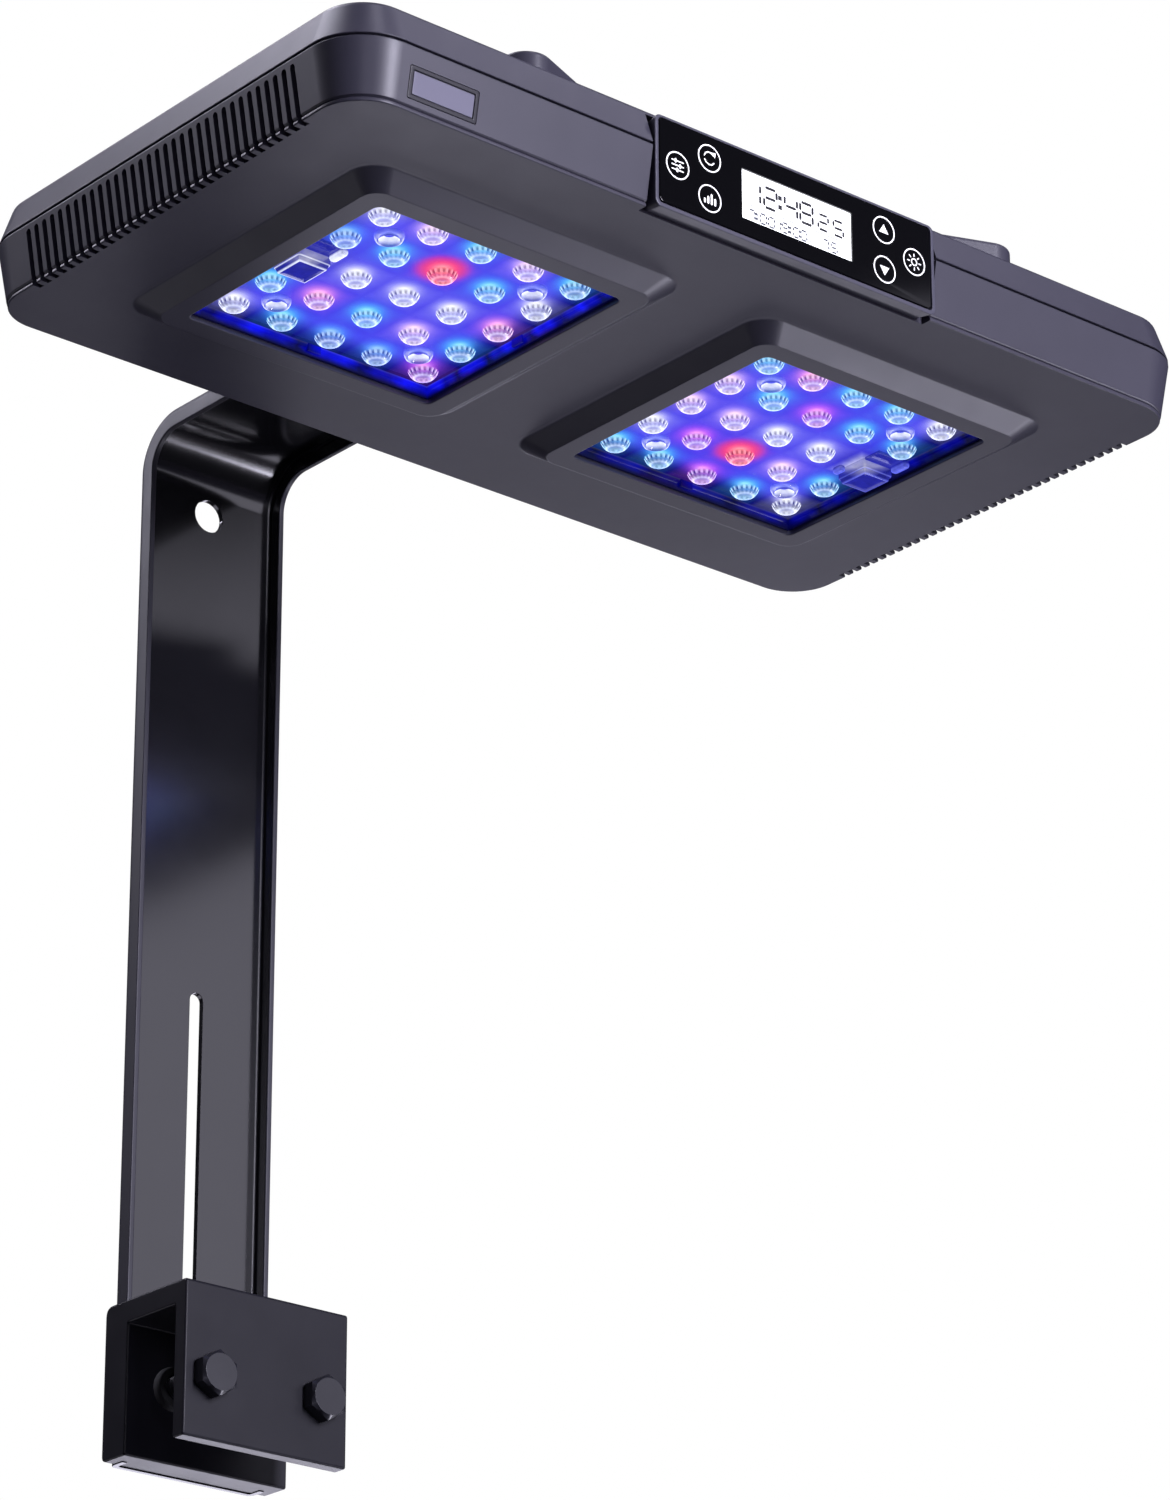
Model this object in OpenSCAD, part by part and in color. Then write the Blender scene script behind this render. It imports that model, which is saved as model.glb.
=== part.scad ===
// LED aquarium light on a height-adjustable arm with a clamp for the tank's rim.
// Millimetres. Origin: centre of the clamp's seat, which rests on the rim.
// +X runs along the lamp's front, +Y towards the arm, +Z up. The display faces -Y.

/* [Head] */
// Width of the head at the seam between its shells
head_w = 340; // [336:1:344]
// Depth of the head at the seam
head_d = 188; // [186:0.5:190]
// Height of the seam above the underside
seam_z = 19.8; // [19:0.1:21]
// Height of the top cover's deck above the underside
deck_z = 33; // [32:0.5:34]
// Corner radius seen from above
corner_r = 19; // [14:1:22]
// Wall thickness of both shells
wall = 2.4; // [2:0.1:2.6]
// Underside of the head above the clamp's seat
head_rise = 270.6; // [270.6:0.1:270.6]
// Centre of the head in front of the clamp's seat
head_reach = 177.9; // [174:0.1:182]

/* [Light windows] */
// Distance from the head's centre to a window's centre
window_x = 76.2; // [75:0.1:77]
// Side of the square window
window = 93.7; // [92:0.1:94]
// Distance that a window's surround stands below the underside
surround_h = 4.6; // [3:0.1:6]
// Distance between neighbouring lamps
lamp_pitch = 18.4; // [18:0.1:18.6]
// Radius of a lens dome
dome_r = 4.6; // [4:0.1:5]

/* [Control panel] */
// Half width of the black panel glass
glass_x = 54.8; // [53:0.1:56]
// Half width of the display window
display_x = 22.3; // [20:0.1:24]

/* [Cooling] */
// Distance from the head's centre to a fan's centre
fan_x = 62; // [61:0.1:62.5]
// Side of the square fan frame
fan_w = 70; // [68:1:70]
// Number of vent slots in each end
vent_n = 33; // [21:2:33]
// Distance between vent slots
vent_pitch = 4.1; // [4:0.1:4.1]

/* [Arm] */
// Width of the channel
arm_w = 55.5; // [50:0.5:56]
// Depth of the channel's flanges
arm_h = 7.2; // [7.2:0.1:7.2]
// Thickness of the sheet
sheet = 2; // [1.5:0.1:2.2]
// Outside radius of the bend
bend_r = 19; // [17:0.5:24]
// Radius of the cable hole
hole_r = 5.75; // [4:0.25:8]
// Width of the adjusting slots
slot_w = 5.2; // [5.2:0.1:5.2]

/* [Clamp] */
// Width of the clamp
clamp_w = 63.4; // [60:0.2:70]
// Gap for the tank's rim
clamp_gap = 25; // [24:0.5:26]
// Thickness of the clamp's front plate
front_t = 5.6; // [5:0.1:6]
// Thickness of the clamp's rear leg
rear_t = 6.3; // [6.3:0.1:6.3]
// Thickness of the clamp over the seat
bridge_t = 7.5; // [6:0.5:9]
// Depth of the clamp below the seat
leg_z = 42.8; // [41:0.1:44]
// How far the rear leg's side lips reach back round the arm
lip_d = 5.8; // [5:0.1:6]

/* [Hidden] */
$fn = 48;

eps = 0.01;
left = -1;
right = 1;

// Head, measured from the centre of its underside
draft_low = 3.4;
draft_high = 4.2;
seam_gap = 0.8;
floor_t = 2.6;
deck_t = 2.4;
low_top = seam_z - seam_gap / 2;
high_bottom = seam_z + seam_gap / 2;
tongue_t = 1;
tongue_z = seam_z + 2;
tongue_in = 1.4;
front_y = -head_d / 2;

// Raised platform on the deck, over the fans
platform_z = 40.2;
platform_t = 2;
platform_x = 101.5;
platform_y = 86.5;
platform_r = 8;
platform_slope = 21;
waist_x = 30;

// Light stack, heights above the underside
lens_z = 3.4;
lens_t = 1.6;
pan_z = 0.3;
boss_low = -1.6;
lens_half = 50.5;
gasket_half = 47.2;
skirt_half = 46.5;
skirt_z = -3.2;
board_z = 7.6;
board_t = 1.6;
board_half = 49;
boss_at = 1.5 * lamp_pitch;
boss_r = 4.2;
boss_bore = 2.9;
lens_screw_r = 1.25;
led_w = 3.5;
sink_half = 56;
sink_base = 3;
sink_top = 22;
sink_pitch = 4;
sink_screw_at = 52.6;
m3_r = 1.5;
pilot_r = 1.25;

// Fans
fan_t = 15;
fan_top = platform_z - platform_t - 0.4;
fan_z = fan_top - fan_t;
fan_bore = 33;
fan_hub = 14;
fan_hole_at = fan_w / 2 - 4.5;
grille_rings = [9, 15, 21, 27];

// Control panel, heights above the underside
panel_x = 56.6;
panel_low = -0.3;
panel_high = 30.5;
panel_depth = 7;
glass_low = 1.5;
glass_high = 29.9;
glass_t = 1.5;
display_low = 7;
display_high = 23.7;
pocket_fit = 0.3;
control_y = front_y + panel_depth + 1.3;
control_posts = [[-49, 6.5], [-49, 25.5], [49, 6.5], [49, 25.5]];
touch_points = [[-47.8, 15.5], [-35.2, 22.3], [-35.2, 8.8], [35.5, 22.3], [35.5, 8.8], [48, 15.5]];

// Driver board
driver_z = 12;
driver_w = 36;
driver_d = 120;
driver_hole = [14, 54];

// Supply inlet in the rear wall
inlet_x = 120;
inlet_z = 11;
inlet_r = 4.9;

// Blank name plate on the front wall
badge = [25.5, 0.9, 10.4];
badge_x = -135.2;
badge_z = 8.8;
tilt_low = atan(draft_low / seam_z);

// Screws that hold the covers together
case_points = [[-152, -78], [152, -78], [-152, 0], [152, 0], [-152, 78], [152, 78], [-40, 80], [40, 80]];

// Arm, in the clamp's axes
arm_y = clamp_gap / 2 + rear_t + arm_h;
arm_top = head_rise + platform_z + arm_h;
arm_bottom = -leg_z - 0.3;
arm_end = -head_reach - 40;
hole_z = 291.8;
height_slot_top = 120.4;
height_slot_low = -36;
lock_z = [-8, -30];
reach_travel = 15;
arm_screw_y = [-12, 38];
m5_r = 2.5;
spacer_h = arm_h - sheet - 0.1;

// Clamp bolts and pressure pads
bolt_x = 21.2;
bolt_z = -22.2;
m8_r = 4;
bolt_head_h = 5.3;
bolt_af = 13;
pad_r = 7;
pad_t = 3;
pad_y = 0;
run_fit = 0.05;

// Lips of the clamp's rear leg
lip_fit = 0.15;
lip_top_r = 3.4;
lip_low_r = 1.8;

// ---- shared shapes ----

module at_head() translate([0, -head_reach, head_rise]) children();

module at_window(side) at_head() translate([side * window_x, 0, 0]) children();

module at_fan(side) at_head() translate([side * fan_x, 0, 0]) children();

module round_rect(w, d, r) {
    square([w - 2 * r, d], center = true);
    square([w, d - 2 * r], center = true);
    for (x = [-1, 1], y = [-1, 1])
        translate([x * (w / 2 - r), y * (d / 2 - r)])
            circle(r);
}

module plate(w, d, r, z, t) translate([0, 0, z]) linear_extrude(t) round_rect(w, d, r);

// A block whose sides slope from one outline to another
module sloped(w0, d0, r0, z0, w1, d1, r1, z1) hull() {
    plate(w0, d0, r0, z0, eps, $fn = 32);
    plate(w1, d1, r1, z1 - eps, eps, $fn = 32);
}

module square_ring(outer, inner, r, z, t) difference() {
    plate(2 * outer, 2 * outer, r, z, t);
    plate(2 * inner, 2 * inner, max(r - (outer - inner), 0.5), z - 1, t + 2);
}

module rod(r, z0, z1) translate([0, 0, z0]) cylinder(r = r, h = z1 - z0);

// A cylinder along +Y, from y0 to y1
module rod_y(r, y0, y1) translate([0, y0, 0]) rotate([-90, 0, 0]) cylinder(r = r, h = y1 - y0);

module corners(x, y) for (i = [-1, 1], j = [-1, 1]) translate([i * x, j * y, 0]) children();

// The platform's outline: full depth at both ends and a narrow waist
module bow_tie(inset) {
    r = platform_r - inset;
    cx = platform_x - platform_r;
    cy = platform_y - platform_r;
    turn = 90 + platform_slope;
    ty = cy + r * cos(platform_slope);
    tx = cx - r * sin(platform_slope);
    wy = ty - (tx - waist_x) * tan(platform_slope);
    corner = [for (k = [0:12]) [cx + r * cos(turn * k / 12), cy + r * sin(turn * k / 12)]];
    quarter = concat(corner, [[waist_x, wy]]);
    n = len(quarter) - 1;
    polygon([
        for (k = [0:n]) quarter[k],
        for (k = [n:-1:0]) [-quarter[k].x, quarter[k].y],
        for (k = [0:n]) -quarter[k],
        for (k = [n:-1:0]) [quarter[k].x, -quarter[k].y]
    ]);
}

// Runs its children at every lamp of one window; the outer middle cell holds the plug
module lamps(side) {
    for (i = [-2:2], j = [-2:2])
        if (!(i == 2 * side && j == 0))
            translate([i * lamp_pitch, j * lamp_pitch, 0])
                children();
}

module screw(r, length, head_r, head_h) {
    translate([0, 0, -length])
        cylinder(r = r, h = length);
    difference() {
        cylinder(r = head_r, h = head_h);
        translate([0, 0, head_h / 2])
            cylinder(r = head_r * 0.5, h = head_h, $fn = 6);
    }
}

// ---- head shells ----

module lower_outline() sloped(
    head_w - 2 * draft_low, head_d - 2 * draft_low, corner_r - 2, 0,
    head_w, head_d, corner_r, low_top);

module lower_hollow() sloped(
    head_w - 2 * draft_low - 2 * wall, head_d - 2 * draft_low - 2 * wall, corner_r - 3, floor_t,
    head_w - 2 * wall, head_d - 2 * wall, corner_r - wall, low_top + 1);

module surround(side) translate([side * window_x, 0, 0]) sloped(
    window + 14.6, window + 14.6, 4, -surround_h,
    window + 28, window + 28, 9, 0.5);

module vents() for (side = [-1, 1], k = [0:vent_n - 1])
    translate([side * head_w / 2, (k - (vent_n - 1) / 2) * vent_pitch, 8.5])
        cube([12.6, 2, 18.4], center = true);

module bottom_case() color([0.30, 0.29, 0.36]) at_head() {
    difference() {
        union() {
            difference() {
                lower_outline();
                lower_hollow();
            }
            for (side = [-1, 1])
                surround(side);
            plate_tongue();
            translate([inlet_x, 0, inlet_z])
                rod_y(8, head_d / 2 - 9, head_d / 2);
        }
        for (side = [-1, 1])
            translate([side * window_x, 0, 0])
                plate(window, window, 3, -surround_h - 1, 12);
        vents();
        panel_pocket();
        translate([inlet_x, 0, inlet_z])
            rod_y(inlet_r + run_fit, head_d / 2 - 20, head_d / 2 + 1);
        badge_place()
            cube([badge.x + 0.3, 2 * badge.y, badge.z + 0.3], center = true);
    }
    for (side = [-1, 1])
        translate([side * window_x, 0, 0])
            corners(sink_screw_at, sink_screw_at)
                post(3, board_z + board_t);
    corners(driver_hole.x, driver_hole.y)
        post(3, driver_z);
    for (p = case_points)
        translate([p.x, p.y, 0])
            post(3.5, seam_z - 0.3);
}

module plate_tongue() difference() {
    plate(head_w - 2 * tongue_in, head_d - 2 * tongue_in, corner_r - tongue_in, low_top - 1,
        tongue_z - low_top + 1);
    plate(head_w - 2 * tongue_in - 2 * tongue_t, head_d - 2 * tongue_in - 2 * tongue_t,
        corner_r - tongue_in - tongue_t, low_top - 2, tongue_z);
}

module post(r, top) difference() {
    rod(r, floor_t - 0.2, top);
    rod(pilot_r, floor_t + 0.4, top + 1);
}

module panel_pocket()
    translate([-panel_x - pocket_fit, front_y - 1, panel_low - 1])
        cube([2 * (panel_x + pocket_fit), panel_depth + 1, panel_high + pocket_fit - panel_low + 1]);

module badge_place()
    translate([badge_x, front_y + draft_low * (1 - badge_z / seam_z), badge_z])
        rotate([tilt_low, 0, 0])
            children();

module grille() {
    difference() {
        for (r = grille_rings) difference() {
            rod(r + 4, platform_z - 5, platform_z + 1);
            rod(r, platform_z - 6, platform_z + 2);
        }
        for (a = [0, 60, 120])
            rotate(a)
                translate([0, 0, platform_z - 2])
                    cube([2 * fan_w, 2.4, 12], center = true);
    }
    corners(fan_hole_at, fan_hole_at)
        rod(m3_r + 0.2, platform_z - 5, platform_z + 1);
}

// The room under the deck, with the screw posts left standing in it
module cover_hollow() difference() {
    sloped(head_w - 2 * wall, head_d - 2 * wall, corner_r - wall, high_bottom - 1,
        head_w - 2 * draft_high - 2 * wall, head_d - 2 * draft_high - 2 * wall, corner_r - 5,
        deck_z - deck_t);
    for (p = case_points)
        translate([p.x, p.y, 0])
            rod(3.5, seam_z + 0.1, deck_z);
}

module top_cover() color([0.33, 0.32, 0.40]) at_head() difference() {
    union() {
        sloped(head_w, head_d, corner_r, high_bottom,
            head_w - 2 * draft_high, head_d - 2 * draft_high, corner_r - 3, deck_z);
        translate([0, 0, deck_z - 1])
            linear_extrude(platform_z - deck_z + 1)
                bow_tie(0);
    }
    cover_hollow();
    plate(head_w - 2 * tongue_in + 0.3, head_d - 2 * tongue_in + 0.3, corner_r - tongue_in,
        high_bottom - 1, tongue_z - high_bottom + 1.3);
    translate([0, 0, deck_z - deck_t - 2])
        linear_extrude(platform_z - platform_t - deck_z + deck_t + 2)
            bow_tie(platform_t);
    for (side = [-1, 1])
        translate([side * fan_x, 0, 0])
            grille();
    for (y = arm_screw_y)
        translate([0, y, 0])
            rod(m5_r + run_fit, platform_z - 5, platform_z + 1);
    for (p = case_points)
        translate([p.x, p.y, 0]) {
            rod(m3_r + 0.2, seam_z - 1, deck_z + 9);
            rod(3.2, deck_z - 1.2, deck_z + 9);
        }
    panel_pocket();
}

module name_badge() color([0.16, 0.15, 0.20]) at_head() badge_place() {
    cube([badge.x - 0.3, badge.y, badge.z - 0.3], center = true);
    translate([0, -badge.y / 2 - 0.1, 0])
        cube([badge.x - 3, 0.3, badge.z - 3], center = true);
}

// ---- control panel ----

module panel_frame() color([0.45, 0.43, 0.54]) at_head() {
    panel_shell();
    for (p = control_posts)
        translate([p.x, 0, p.y]) difference() {
            rod_y(2.6, front_y + glass_t + 1.5, control_y);
            rod_y(pilot_r, front_y + glass_t + 3, control_y + 1);
        }
}

module panel_shell() difference() {
    translate([-panel_x, front_y, panel_low])
        cube([2 * panel_x, panel_depth, panel_high - panel_low]);
    translate([-glass_x - 0.1, front_y - 1, glass_low - 0.1])
        cube([2 * glass_x + 0.2, glass_t + 1, glass_high - glass_low + 0.2]);
    translate([-glass_x + 2, front_y + glass_t + 2, glass_low + 1.5])
        cube([2 * glass_x - 4, panel_depth, glass_high - glass_low - 4]);
    translate([-display_x - 2.2, front_y, display_low - 2.2])
        cube([2 * display_x + 4.4, panel_depth, display_high - display_low + 4.4]);
    for (p = touch_points)
        translate([p.x, 0, p.y])
            rod_y(4, front_y, front_y + panel_depth + 1);
}

module panel_glass() color([0.02, 0.02, 0.03]) at_head()
    translate([-glass_x, front_y, glass_low])
        cube([2 * glass_x, glass_t, glass_high - glass_low]);

module lcd_module() color([0.92, 0.95, 0.98]) at_head()
    translate([-display_x - 2, front_y + glass_t + 0.1, display_low - 2])
        cube([2 * display_x + 4, 4.6, display_high - display_low + 4]);

module control_board() color([0.05, 0.30, 0.14]) at_head() difference() {
    translate([-52, control_y, 4])
        cube([104, 1.6, 24]);
    for (p = control_posts)
        translate([p.x, 0, p.y])
            rod_y(m3_r, control_y - 1, control_y + 3);
}

module touch_springs() color([0.80, 0.62, 0.30]) at_head()
    for (p = touch_points)
        translate([p.x, 0, p.y]) difference() {
            rod_y(3.4, front_y + glass_t + 0.1, control_y);
            rod_y(2.8, front_y + glass_t + 0.6, control_y + 1);
        }

// ---- light stack ----

// A clear tray: its flange lies on the gasket, its floor with the domes hangs in the opening
module lens_array(side) color([0.35, 0.45, 1.0, 0.5]) at_window(side) {
    square_ring(lens_half, skirt_half - 1, 4, lens_z, lens_t);
    square_ring(skirt_half, skirt_half - 1.2, 2.8, skirt_z, lens_z + lens_t - skirt_z);
    difference() {
        union() {
            plate(2 * skirt_half - 1, 2 * skirt_half - 1, 2.3, pan_z, lens_t);
            lamps(side) difference() {
                translate([0, 0, pan_z + 1.5])
                    sphere(dome_r);
                rod(dome_r + 1, pan_z + lens_t / 2, pan_z + 4 * lens_t);
            }
            corners(boss_at, boss_at)
                rod(boss_r, boss_low, board_z);
            translate([side * 2 * lamp_pitch, 0, pan_z - 0.6])
                cube([13, 10, 3.2], center = true);
        }
        lamps(side)
            rod(2.6, pan_z - 0.6, pan_z + 2 * lens_t);
        corners(boss_at, boss_at) {
            rod(boss_bore, boss_low - 1, lens_z);
            rod(lens_screw_r + 0.15, 0, board_z + 1);
        }
    }
}

module lens_gasket(side) color([0.10, 0.10, 0.11]) at_window(side)
    square_ring(lens_half, gasket_half, 4, floor_t, lens_z - floor_t);

module led_board(side) color([0.90, 0.92, 0.90]) at_window(side) difference() {
    plate(2 * board_half, 2 * board_half, 3, board_z, board_t);
    corners(boss_at, boss_at)
        rod(lens_screw_r + 0.1, board_z - 1, board_z + board_t + 1);
}

module led_emitters(side) color([0.95, 0.88, 0.45]) at_window(side) lamps(side) {
    translate([-led_w / 2, -led_w / 2, board_z - 1.6])
        cube([led_w, led_w, 1.6]);
    translate([0, 0, board_z - 1.7])
        sphere(1.4);
}

module led_connectors() color([0.93, 0.92, 0.88])
    for (side = [-1, 1])
        at_window(side)
            translate([side * 2 * lamp_pitch - 4.5, -3, board_z - 5])
                cube([9, 6, 5]);

module lens_screws() color([0.75, 0.76, 0.80])
    for (side = [-1, 1])
        at_window(side)
            corners(boss_at, boss_at)
                translate([0, 0, lens_z])
                    mirror([0, 0, 1])
                        screw(lens_screw_r, board_z + board_t + 2 - lens_z, 2.3, 1.6);

module heatsink(side) color([0.72, 0.73, 0.76]) at_window(side) difference() {
    union() {
        plate(2 * sink_half, 2 * sink_half, 2, board_z + board_t, sink_base);
        for (x = [-sink_half + 8:sink_pitch:sink_half - 8])
            translate([x - 0.6, -sink_half, board_z + board_t + sink_base - 0.1])
                cube([1.2, 2 * sink_half, sink_top - board_z - board_t - sink_base + 0.1]);
    }
    corners(boss_at, boss_at)
        rod(lens_screw_r, board_z, board_z + board_t + 2.1);
    corners(sink_screw_at, sink_screw_at) {
        rod(m3_r + 0.1, board_z, board_z + 10);
        rod(3.4, board_z + board_t + sink_base, sink_top + 1);
    }
}

module heatsink_screws() color([0.75, 0.76, 0.80])
    for (side = [-1, 1])
        at_window(side)
            corners(sink_screw_at, sink_screw_at)
                translate([0, 0, board_z + board_t + sink_base])
                    screw(pilot_r, 8, 2.8, 1.8);

// ---- fans ----

module fan_frame(side) color([0.08, 0.08, 0.09]) at_fan(side) {
    difference() {
        plate(fan_w, fan_w, 4, fan_z, fan_t);
        rod(fan_bore, fan_z - 1, fan_top + 1);
        corners(fan_hole_at, fan_hole_at)
            rod(pilot_r, fan_z - 1, fan_top + 1);
    }
    rod(fan_hub, fan_z, fan_z + 2);
    for (a = [0:90:270])
        rotate(a + 45)
            translate([fan_hub - 1, -1.5, fan_z])
                cube([fan_bore - fan_hub + 2, 3, 2]);
    rod(1.5, fan_z + 1, fan_z + 10);
}

module fan_rotor(side) color([0.12, 0.12, 0.13]) at_fan(side) {
    difference() {
        union() {
            rod(fan_hub, fan_z + 2.6, fan_top - 0.8);
            for (k = [0:6])
                rotate(k * 360 / 7)
                    translate([fan_hub - 1, 0, fan_z + 8.2])
                        rotate([35, 0, 0])
                            translate([0, -6.5, -0.6])
                                cube([fan_bore - fan_hub - 0.6, 13, 1.2]);
        }
        rod(fan_hub - 1.2, fan_z + 2, fan_top - 2);
        rod(1.5 + run_fit, fan_z, fan_z + 12);
    }
    difference() {
        rod(4, fan_z + 3, fan_top - 1.5);
        rod(1.5 + run_fit, fan_z, fan_z + 12);
    }
}

module fan_screws() color([0.35, 0.35, 0.38])
    for (side = [-1, 1])
        at_fan(side)
            corners(fan_hole_at, fan_hole_at)
                translate([0, 0, platform_z])
                    screw(pilot_r, 9, 2.8, 1.6);

// ---- electronics ----

module driver_board() color([0.05, 0.30, 0.14]) at_head() difference() {
    translate([-driver_w / 2, -driver_d / 2, driver_z])
        cube([driver_w, driver_d, 1.6]);
    corners(driver_hole.x, driver_hole.y)
        rod(m3_r + 0.1, driver_z - 1, driver_z + 3);
}

module driver_components() color([0.20, 0.20, 0.22]) at_head() translate([0, 0, driver_z + 1.6]) {
    for (y = [-36, 36])
        translate([-6, y, 0])
            cylinder(r = 6.5, h = 14);
    for (x = [-8, 8], y = [-16, 0, 16])
        translate([x - 5, y - 5, 0])
            cube([10, 10, 6]);
    for (y = [-36, 36])
        translate([4, y - 6, 0])
            cube([10, 12, 9]);
}

module board_screws() color([0.75, 0.76, 0.80]) at_head() {
    corners(driver_hole.x, driver_hole.y)
        translate([0, 0, driver_z + 1.6])
            screw(pilot_r, 6, 2.6, 1.6);
    for (p = control_posts)
        translate([p.x, control_y + 1.6, p.y])
            rotate([-90, 0, 0])
                screw(pilot_r, 5, 2.4, 1.4);
}

// Wire laid along the head's axes, with a sleeve at each turn
module wire_run(points, r) {
    $fn = 16;
    last = len(points) - 1;
    for (k = [1:last]) {
        d = points[k] - points[k - 1];
        translate(points[k - 1])
            rotate(d.x != 0 ? [0, 90 * sign(d.x), 0] : d.y != 0 ? [-90 * sign(d.y), 0, 0] : [0, 0, 0])
                cylinder(r = r, h = norm(d));
        if (k < last)
            translate(points[k])
                cube(2.6 * r, center = true);
    }
}

module wiring_harness() color([0.70, 0.12, 0.10]) at_head() {
    wire_run([[inlet_x, 76, inlet_z], [inlet_x, 70, inlet_z], [10, 70, inlet_z], [10, 70, 16],
        [10, 52, 16]], 1.3);
    for (side = [-1, 1])
        wire_run([[side * 12, -27, 16], [side * 19.4, -27, 16]], 1.1);
    wire_run([[0, -62, 16], [0, -83, 16]], 1.5);
}

module dc_inlet() color([0.07, 0.07, 0.08]) at_head() translate([inlet_x, 0, inlet_z]) {
    difference() {
        rod_y(inlet_r, head_d / 2 - 16, head_d / 2 + 0.6);
        rod_y(3.1, head_d / 2 - 9, head_d / 2 + 2);
    }
    rod_y(1.05, head_d / 2 - 10, head_d / 2 - 0.5);
    difference() {
        rod_y(7.5, head_d / 2 - 11.5, head_d / 2 - 9.1);
        rod_y(inlet_r - 0.1, head_d / 2 - 12, head_d / 2 - 8);
    }
}

module case_screws() color([0.35, 0.35, 0.38]) at_head()
    for (p = case_points)
        translate([p.x, p.y, deck_z - 1.2])
            screw(pilot_r, 18, 2.9, 1.4);

// ---- joint between the head and the arm ----

module arm_spacer() color([0.55, 0.56, 0.60]) at_head() difference() {
    translate([-11, arm_screw_y[0] - 12, platform_z])
        cube([22, arm_screw_y[1] - arm_screw_y[0] + 24, spacer_h]);
    for (y = arm_screw_y)
        translate([0, y, 0])
            rod(m5_r + run_fit, platform_z - 1, platform_z + 10);
}

module arm_nut_plate() color([0.55, 0.56, 0.60]) at_head() difference() {
    translate([-12, arm_screw_y[0] - 10, platform_z - platform_t - 4])
        cube([24, arm_screw_y[1] - arm_screw_y[0] + 20, 4]);
    for (y = arm_screw_y)
        translate([0, y, 0])
            rod(m5_r + run_fit, platform_z - 10, platform_z);
}

module arm_screws() color([0.35, 0.35, 0.38]) at_head()
    for (y = arm_screw_y)
        translate([0, y, platform_z + arm_h + 1.1])
            screw(m5_r, arm_h + 1.1 + 7, 4.6, 3.4);

module arm_washers() color([0.60, 0.61, 0.65]) at_head()
    for (y = arm_screw_y)
        translate([0, y, platform_z + arm_h + 0.1]) difference() {
            cylinder(r = 5.8, h = 1);
            translate([0, 0, -1])
                cylinder(r = m5_r + run_fit, h = 3);
        }

// ---- arm ----

// Side outline of an L-shaped band lying between two depths below the arm's outer face
module band(outer, inner, low, end) {
    cy = arm_y - bend_r;
    cz = arm_top - bend_r;
    steps = 24;
    function bend(depth) = [for (k = [0:steps])
        [cy + (bend_r - depth) * cos(90 * k / steps), cz + (bend_r - depth) * sin(90 * k / steps)]];
    inside = bend(inner);
    polygon(concat([[arm_y - outer, low]], bend(outer), [[end, arm_top - outer], [end, arm_top - inner]],
        [for (k = [steps:-1:0]) inside[k]], [[arm_y - inner, low]]));
}

module band_solid(w, outer, inner, low, end)
    translate([-w / 2, 0, 0])
        rotate([90, 0, 90])
            linear_extrude(w)
                band(outer, inner, low, end);

module height_slot(z0, z1) {
    translate([-slot_w / 2, arm_y - 5, z0 + slot_w / 2])
        cube([slot_w, 10, z1 - z0 - slot_w]);
    for (z = [z0 + slot_w / 2, z1 - slot_w / 2])
        translate([0, 0, z])
            rod_y(slot_w / 2, arm_y - 5, arm_y + 5);
}

module reach_slot() {
    y0 = -head_reach + arm_screw_y[0] - reach_travel - 0.4;
    y1 = -head_reach + arm_screw_y[1] + reach_travel + 0.4;
    translate([-slot_w / 2, y0, arm_top - 5])
        cube([slot_w, y1 - y0, 10]);
    for (y = [y0, y1])
        translate([0, y, arm_top - 5])
            cylinder(r = slot_w / 2, h = 10);
}

module arm() color([0.10, 0.10, 0.12]) difference() {
    band_solid(arm_w, 0, arm_h, arm_bottom, arm_end);
    band_solid(arm_w - 2 * sheet, sheet, arm_h + 3, arm_bottom - 1, arm_end - 1);
    height_slot(height_slot_low, height_slot_top);
    reach_slot();
    translate([0, 0, hole_z])
        rod_y(hole_r, arm_y - 5, arm_y + 5);
}

// ---- clamp ----

// Side outline of the clamp, its rear corners rounded
module clamp_outline() hull() {
    rear = clamp_gap / 2 + rear_t + lip_d;
    translate([-clamp_gap / 2 - front_t, -leg_z])
        square([1, leg_z + bridge_t]);
    translate([rear - lip_top_r, bridge_t - lip_top_r])
        circle(lip_top_r);
    translate([rear - lip_low_r, -leg_z + lip_low_r])
        circle(lip_low_r);
}

module clamp_body() color([0.20, 0.19, 0.23]) difference() {
    translate([-clamp_w / 2, 0, 0])
        rotate([90, 0, 90])
            linear_extrude(clamp_w)
                clamp_outline();
    translate([-arm_w / 2 - lip_fit, clamp_gap / 2 + rear_t, -leg_z - 1])
        cube([arm_w + 2 * lip_fit, lip_d + 1, leg_z + bridge_t + 2]);
    translate([-clamp_w, -clamp_gap / 2, -leg_z - 1])
        cube([2 * clamp_w, clamp_gap, leg_z + 1]);
    for (side = [-1, 1])
        translate([side * bolt_x, 0, bolt_z])
            rod_y(m8_r + run_fit, -clamp_gap, 0);
    for (z = lock_z)
        translate([0, 0, z])
            rod_y(m5_r + run_fit, 0, clamp_gap);
}

module clamp_bolt(side) color([0.22, 0.21, 0.25]) translate([side * bolt_x, 0, bolt_z]) {
    rod_y(m8_r, -clamp_gap / 2 - front_t - 1, pad_y + 1.4);
    translate([0, -clamp_gap / 2 - front_t - bolt_head_h, 0])
        rotate([-90, 30, 0])
            cylinder(r = bolt_af / 2 / cos(30), h = bolt_head_h, $fn = 6);
}

module clamp_pad(side) color([0.12, 0.12, 0.13]) translate([side * bolt_x, 0, bolt_z])
    difference() {
        rod_y(pad_r, pad_y, pad_y + pad_t);
        rod_y(m8_r + run_fit, pad_y - 1, pad_y + 1.5);
    }

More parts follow.
